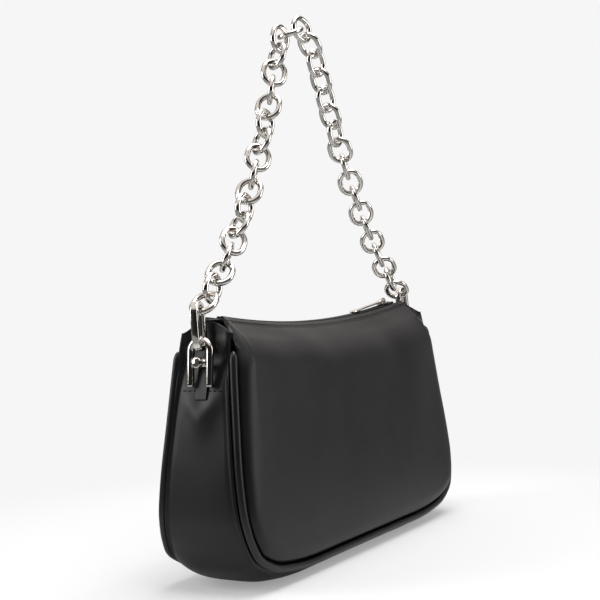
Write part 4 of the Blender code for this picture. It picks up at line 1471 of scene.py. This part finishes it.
@dataclass
class Hardware:
    """The arch, its crossbar and stud at each end, and the connector that hangs on it.

    Each step of a foot is how far it is drawn down and how much it narrows. Each ring of a
    stud's head is how far it is drawn out, as a share of the head's length, and how it widens.
    """

    shape: BagShape
    finishes: Finishes
    bar: float = 0.00225
    half_span: float = 0.00665
    hinge_height: float = 0.1401
    leg: float = 0.0206
    crown_x: float = 0.1334
    lean: float = math.radians(6.2)
    crossbar_drop: float = 0.0066
    crossbar_half_height: float = 0.0024
    crossbar_half_thickness: float = 0.0012
    crossbar_edge: float = 0.0005
    stud_head: float = 0.0034
    stud_length: float = 0.0034
    stud_edge: float = 0.00012
    shank_radius: float = 0.0011
    shank_length: float = 0.0040
    shank_drop: float = 0.0008
    ring_half_width: float = 0.0070
    ring_length: float = 0.0290
    ring_bar: float = 0.0029
    ring_depth: float = 0.0043
    ring_edge: float = 0.00065

    FOOT = ((0.0005, 1.0), (0.0004, 0.96), (0.0003, 0.84), (0.00015, 0.6), (0.00005, 0.3))
    HEAD = ((0.38, 1.38), (0.12, 0.78))
    WAIST_SHARE = 0.72

    def place(self, end: End) -> Matrix:
        """The arch's frame: X along the bag's depth, Y up its lean and Z out of the bag.

        Args:
            end: which end.

        Returns:
            The matrix that carries a piece there.
        """
        sign = end.value
        out = self.crown_x + self.half_span * math.tan(self.lean)
        return frame_matrix(Vector((0.0, sign, 0.0)),
                            Vector((-sign * math.sin(self.lean), 0.0, math.cos(self.lean))),
                            Vector((sign * out, 0.0, self.hinge_height)))

    def build(self) -> None:
        """Build the hardware of both ends."""
        for end in End:
            self.build_arch(end)
            self.build_stud(end)
            self.build_connector(end)

    def build_arch(self, end: End) -> None:
        """Build one arch: half a torus with its legs extruded down, and its crossbar.

        Args:
            end: which end.
        """
        deselect()
        bpy.ops.mesh.primitive_torus_add(major_segments=64, minor_segments=28,
                                         major_radius=self.half_span, minor_radius=self.bar)
        arch = bpy.context.object
        edit(arch, lambda co: co.y < -10 * NEAR, lambda: bpy.ops.mesh.delete(type="VERT"))
        low = sum(drop for drop, _ in self.FOOT) - self.leg
        edit(arch, lambda co: co.y < NEAR, edges_drawn(0, low, 0))
        for sign in (-1, 1):
            reached = low
            for drop, scale in self.FOOT:
                edit(arch, lambda co: co.x * sign > 0 and co.y < reached + 10 * NEAR,
                     edges_drawn(0, -drop, 0),
                     resized((scale, 1, scale), (sign * self.half_span, 0, 0)))
                reached -= drop
        edit(arch, None, lambda: bpy.ops.mesh.select_all(action="SELECT"),
             lambda: bpy.ops.mesh.fill_holes(sides=40),
             lambda: bpy.ops.mesh.normals_make_consistent(inside=False))
        crossbar = box_piece((0, -self.crossbar_drop, 0),
                             (2 * self.half_span - self.bar, 2 * self.crossbar_half_height,
                              2 * self.crossbar_half_thickness))
        modify(crossbar, "BEVEL", width=self.crossbar_edge, segments=3)
        piece = settle(join([arch, crossbar], "arch"), self.place(end))
        smooth(piece, 40)
        finish_piece(piece, f"{end.label}_arch_dressed", Body.BAG, self.finishes.nickel,
                     f"{end.label}_arch")

    def build_stud(self, end: End) -> None:
        """Build one stud: a faceted, waisted head on a shank.

        Args:
            end: which end.
        """
        half = self.stud_length / 2
        top = self.crossbar_half_thickness + half
        deselect()
        bpy.ops.mesh.primitive_cylinder_add(vertices=8, radius=self.stud_head, depth=half)
        head = settle(bpy.context.object, Matrix.Rotation(math.pi / 8, 4, "Z"))
        settle(head, Matrix.Translation((0, 0, top - half / 2)))
        steps = [resized((self.WAIST_SHARE, self.WAIST_SHARE, 1), (0, 0, top))]
        for rise, scale in self.HEAD:
            steps += [region_drawn(0, 0, rise * self.stud_length),
                      resized((scale, scale, 1), (0, 0, top))]
        edit(head, lambda co: co.z > top - NEAR, *steps)
        bevel(head, self.stud_edge, 2, 20)
        deselect()
        bpy.ops.mesh.primitive_cylinder_add(vertices=20, radius=self.shank_radius,
                                            depth=self.shank_length)
        shank = settle(bpy.context.object, Matrix.Translation((0, 0, -self.shank_drop)))
        stud = settle(join([head, shank], "stud"),
                      self.place(end) @ Matrix.Translation((0, -self.crossbar_drop, 0)))
        smooth(stud, 18)
        finish_piece(stud, f"{end.label}_stud_dressed", Body.BAG, self.finishes.nickel,
                     f"{end.label}_stud")

    def build_connector(self, end: End) -> None:
        """Build one connector: a long flat-sided ring with softened edges.

        Args:
            end: which end.
        """
        node = f"{end.label}_connector"
        deselect()
        bpy.ops.mesh.primitive_circle_add(vertices=62, radius=self.ring_half_width,
                                          fill_type="NOTHING")
        ring = bpy.context.object
        inner = 1 - self.ring_bar / self.ring_half_width
        edit(ring, None, edges_drawn(0, 0, 0), resized((inner, inner, 1), (0, 0, 0)))
        stretch(ring, self.ring_length / 2 - self.ring_half_width)
        modify(ring, "SOLIDIFY", thickness=self.ring_depth, offset=0)
        bevel(ring, self.ring_edge, 3, 50)
        face_out(ring)
        settle(ring, node_frame(node))
        smooth(ring, 40)
        finish_piece(ring, f"{node}_dressed", Body.STRAP, self.finishes.nickel, node)


@dataclass
class Chain:
    """The strap's round-wire links, each laid where its solid lies."""

    finishes: Finishes
    count: int = 36
    length: float = 0.0203
    width: float = 0.0180
    wire: float = 0.0036

    def build(self) -> None:
        """Model one link and copy it along the strap."""
        deselect()
        bpy.ops.mesh.primitive_torus_add(major_segments=46, minor_segments=18,
                                         major_radius=(self.width - self.wire) / 2,
                                         minor_radius=self.wire / 2)
        link = bpy.context.object
        stretch(link, (self.length - self.width) / 2)
        smooth(link, 80)
        for number in range(1, self.count + 1):
            node = f"chain_link_{number:02d}"
            copy = settle(duplicate(link, "link"), node_frame(node))
            finish_piece(copy, f"link_{number:02d}", Body.STRAP, self.finishes.nickel, node)
        bpy.data.objects.remove(link)


@dataclass
class Inside:
    """The lining, and the board under it."""

    shape: BagShape
    finishes: Finishes
    depth: float = 0.0035
    cloth: float = 0.0005
    ends_share: float = 0.035
    from_share: float = 0.045
    to_share: float = 0.945
    columns: int = 60
    rows: int = 34
    fold: float = 0.0006
    fold_turns: float = 160.0
    floor_half_length: float = 0.0935
    floor_half_depth: float = 0.021
    floor_lift: float = 0.0001

    def build(self) -> None:
        """Dress the board, and hang a lining with soft folds in place of its solid."""
        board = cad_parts["base_board"]
        board.data.materials.clear()
        board.data.materials.append(self.finishes.board.material)
        u = np.linspace(self.ends_share, 1 - self.ends_share, self.columns)
        loops = []
        for v in np.linspace(self.from_share, self.to_share, self.rows):
            wall = self.shape.panel_depth(u, np.full_like(u, v), self.depth, True)
            folds = 1 + np.sin(wall[:, 0] * self.fold_turns)
            wall[:, 1] += self.fold * folds * np.sin(v * np.pi)
            loops.append(np.vstack([wall, (wall * (1, -1, 1))[::-1]]))
        floor = loops[0].copy()
        floor[:, 0] *= self.floor_half_length / np.abs(floor[:, 0]).max()
        floor[:, 1] *= self.floor_half_depth / np.abs(floor[:, 1]).max()
        floor[:, 2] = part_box("lining")[0].z + self.floor_lift
        grid = np.stack([floor, *loops])
        lining = grid_piece("lining", np.concatenate([grid, grid[:, :1]], 1))
        edit(lining, None, lambda: bpy.ops.mesh.remove_doubles(threshold=NEAR))
        edit(lining, lambda co: co.z < floor[0, 2] + self.floor_lift,
             lambda: bpy.ops.mesh.edge_face_add())
        modify(lining, "SOLIDIFY", thickness=self.cloth, offset=-1)
        smooth(lining, 50)
        finish_piece(lining, "lining_skin", Body.BAG, self.finishes.lining, "lining")


# The set


@dataclass
class Studio:
    """The pale floor and backdrop, the soft lamps and the camera at the photograph's angle.

    The backdrop is bright behind the bag, dim beside it and half dark behind the camera, which
    gives the metal its contrast. Each lamp is a place, the height that it looks at, its width
    and height, and its power.
    """

    azimuth: float = math.radians(-59.24)
    elevation: float = math.radians(0.93)
    distance: float = 0.82615
    roll: float = math.radians(-2.71)
    target_across: float = -0.00983
    target_up: float = 0.1651
    focal_px: float = 1233.52
    frame_px: float = 600.0
    sensor_mm: float = 36.0
    paper: str = "f6f6f6"
    floor_colour: str = "f0f0f0"
    mirrored_colour: str = "f6efec"
    view_way: tuple[float, float, float] = (0.859, 0.511, 0.0)
    behind_over: tuple[float, float] = (0.55, 0.85)
    behind_light: tuple[float, float] = (0.08, 0.95)
    before_over: tuple[float, float] = (-0.85, -0.45)
    before_light: tuple[float, float] = (0.20, 1.0)
    above_over: tuple[float, float] = (0.45, 0.80)
    above_light: tuple[float, float] = (0.0, 0.9)
    fill: float = 0.35
    floor_size: float = 6.0
    floor_roughness: float = 0.9
    floor_over: tuple[float, float] = (0.16, 0.40)
    floor_near_share: float = 0.30
    floor_mirrored: float = 0.35

    LAMPS = {"overhead_box": ((0.05, -0.15, 1.15), 0.1, 0.9, 0.7, 11.0),
             "left_box": ((-0.75, 0.85, 0.60), 0.12, 0.55, 0.8, 7.0),
             "right_box": ((0.55, -1.15, 0.45), 0.12, 0.6, 0.8, 5.0)}

    def build(self) -> None:
        """Build the camera, the world, the lamps and the floor."""
        self.build_camera()
        self.build_world()
        self.build_lamps()
        self.build_floor()
        bpy.context.scene.view_settings.view_transform = "Standard"

    def build_camera(self) -> None:
        """Place the camera where the photograph was taken from."""
        a, e, r = self.azimuth, self.elevation, self.roll
        back = Vector((math.sin(a) * math.cos(e), -math.cos(a) * math.cos(e), math.sin(e)))
        right = Vector((math.cos(a), math.sin(a), 0.0))
        up = back.cross(right)
        target = right * self.target_across + Vector((0.0, 0.0, 1.0)) * self.target_up
        data = bpy.data.cameras.new("photo_view")
        data.sensor_width = self.sensor_mm
        data.lens = self.focal_px * self.sensor_mm / self.frame_px
        camera = bpy.data.objects.new("photo_view", data)
        bpy.context.collection.objects.link(camera)
        matrix = Matrix((right * math.cos(r) + up * math.sin(r), up * math.cos(r) - right * math.sin(r),
                         back)).transposed().to_4x4()
        matrix.translation = target + back * self.distance
        camera.matrix_world = matrix
        bpy.context.scene.camera = camera

    def build_world(self) -> None:
        """Give the world a pale backdrop for the eye and the metal, and a dim fill light."""
        world = bpy.data.worlds.new("studio")
        bpy.context.scene.world = world
        world.use_nodes = True
        tree = world.node_tree
        tree.nodes.clear()
        path = add_node(tree, "LightPath").outputs
        way = add_node(tree, "TexCoord").outputs["Generated"]
        along = add_node(tree, "VectorMath", {0: way, 1: self.view_way},
                         operation="DOT_PRODUCT").outputs["Value"]
        behind = ramp(tree, along, self.behind_over, self.behind_light, True)
        before = ramp(tree, along, self.before_over, self.before_light, True)
        height = add_node(tree, "SeparateXYZ", {0: way}).outputs["Z"]
        above = ramp(tree, height, self.above_over, self.above_light, True)
        level = combine(tree, "ADD", combine(tree, "MULTIPLY", behind, before), above)
        shown = add_node(tree, "Background", {"Color": linear(self.paper), "Strength": 1.0}).outputs[0]
        mirrored = add_node(tree, "Background", {"Color": linear(self.mirrored_colour),
                                                 "Strength": level}).outputs[0]
        light = add_node(tree, "Background", {"Color": linear("ffffff"),
                                              "Strength": self.fill}).outputs[0]
        for ray, backdrop in (("Glossy", mirrored), ("Transmission", shown), ("Camera", shown)):
            light = add_node(tree, "MixShader", {0: path[f"Is {ray} Ray"], 1: light,
                                                 2: backdrop}).outputs[0]
        add_node(tree, "OutputWorld", {0: light})

    def build_lamps(self) -> None:
        """Hang the soft boxes: one above, and a low one at each side."""
        for name, (place, aim, width, height, power) in self.LAMPS.items():
            data = bpy.data.lights.new(name, "AREA")
            data.shape = "RECTANGLE"
            data.size, data.size_y, data.energy = width, height, power
            lamp = bpy.data.objects.new(name, data)
            bpy.context.collection.objects.link(lamp)
            lamp.location = place
            lamp.rotation_mode = "QUATERNION"
            way = Vector((0.0, 0.0, aim)) - Vector(place)
            lamp.rotation_quaternion = way.to_track_quat("-Z", "Y")

    def build_floor(self) -> None:
        """Lay a pale floor that keeps the bag's shadow and turns to plain paper further out."""
        deselect()
        bpy.ops.mesh.primitive_plane_add(size=self.floor_size)
        floor = bpy.context.object
        floor.name = "studio_floor"
        material = bpy.data.materials.new("pale_paper_sweep")
        material.use_nodes = True
        tree = material.node_tree
        shader = tree.nodes["Principled BSDF"]
        shader.inputs["Base Color"].default_value = linear(self.floor_colour)
        shader.inputs["Roughness"].default_value = self.floor_roughness
        where = add_node(tree, "TexCoord").outputs["Object"]
        away = add_node(tree, "VectorMath", {0: where}, operation="LENGTH").outputs["Value"]
        far = ramp(tree, away, self.floor_over, (self.floor_near_share, 1.0), True)
        path = add_node(tree, "LightPath").outputs
        seen = combine(tree, "MAXIMUM", path["Is Camera Ray"], path["Is Glossy Ray"])
        seen = combine(tree, "MAXIMUM", seen, path["Is Transmission Ray"])
        level = ramp(tree, path["Is Glossy Ray"], (0.0, 1.0), (1.0, self.floor_mirrored))
        glow = add_node(tree, "Emission", {"Color": linear(self.paper), "Strength": level})
        mix = add_node(tree, "MixShader", {0: combine(tree, "MULTIPLY", seen, far),
                                           1: shader.outputs[0], 2: glow.outputs[0]})
        tree.links.new(mix.outputs[0], tree.nodes["Material Output"].inputs["Surface"])
        floor.data.materials.append(material)


def main() -> None:
    """Build the whole bag and its set."""
    logging.basicConfig(level=logging.INFO, format="%(name)s %(message)s")
    finishes = Finishes()
    shape = BagShape()
    Studio().build()
    for maker in (Panels, Gusset, Piping, Zip, Hardware):
        maker(shape, finishes).build()
    Chain(finishes).build()
    Inside(shape, finishes).build()


if __name__ == "__main__":
    main()
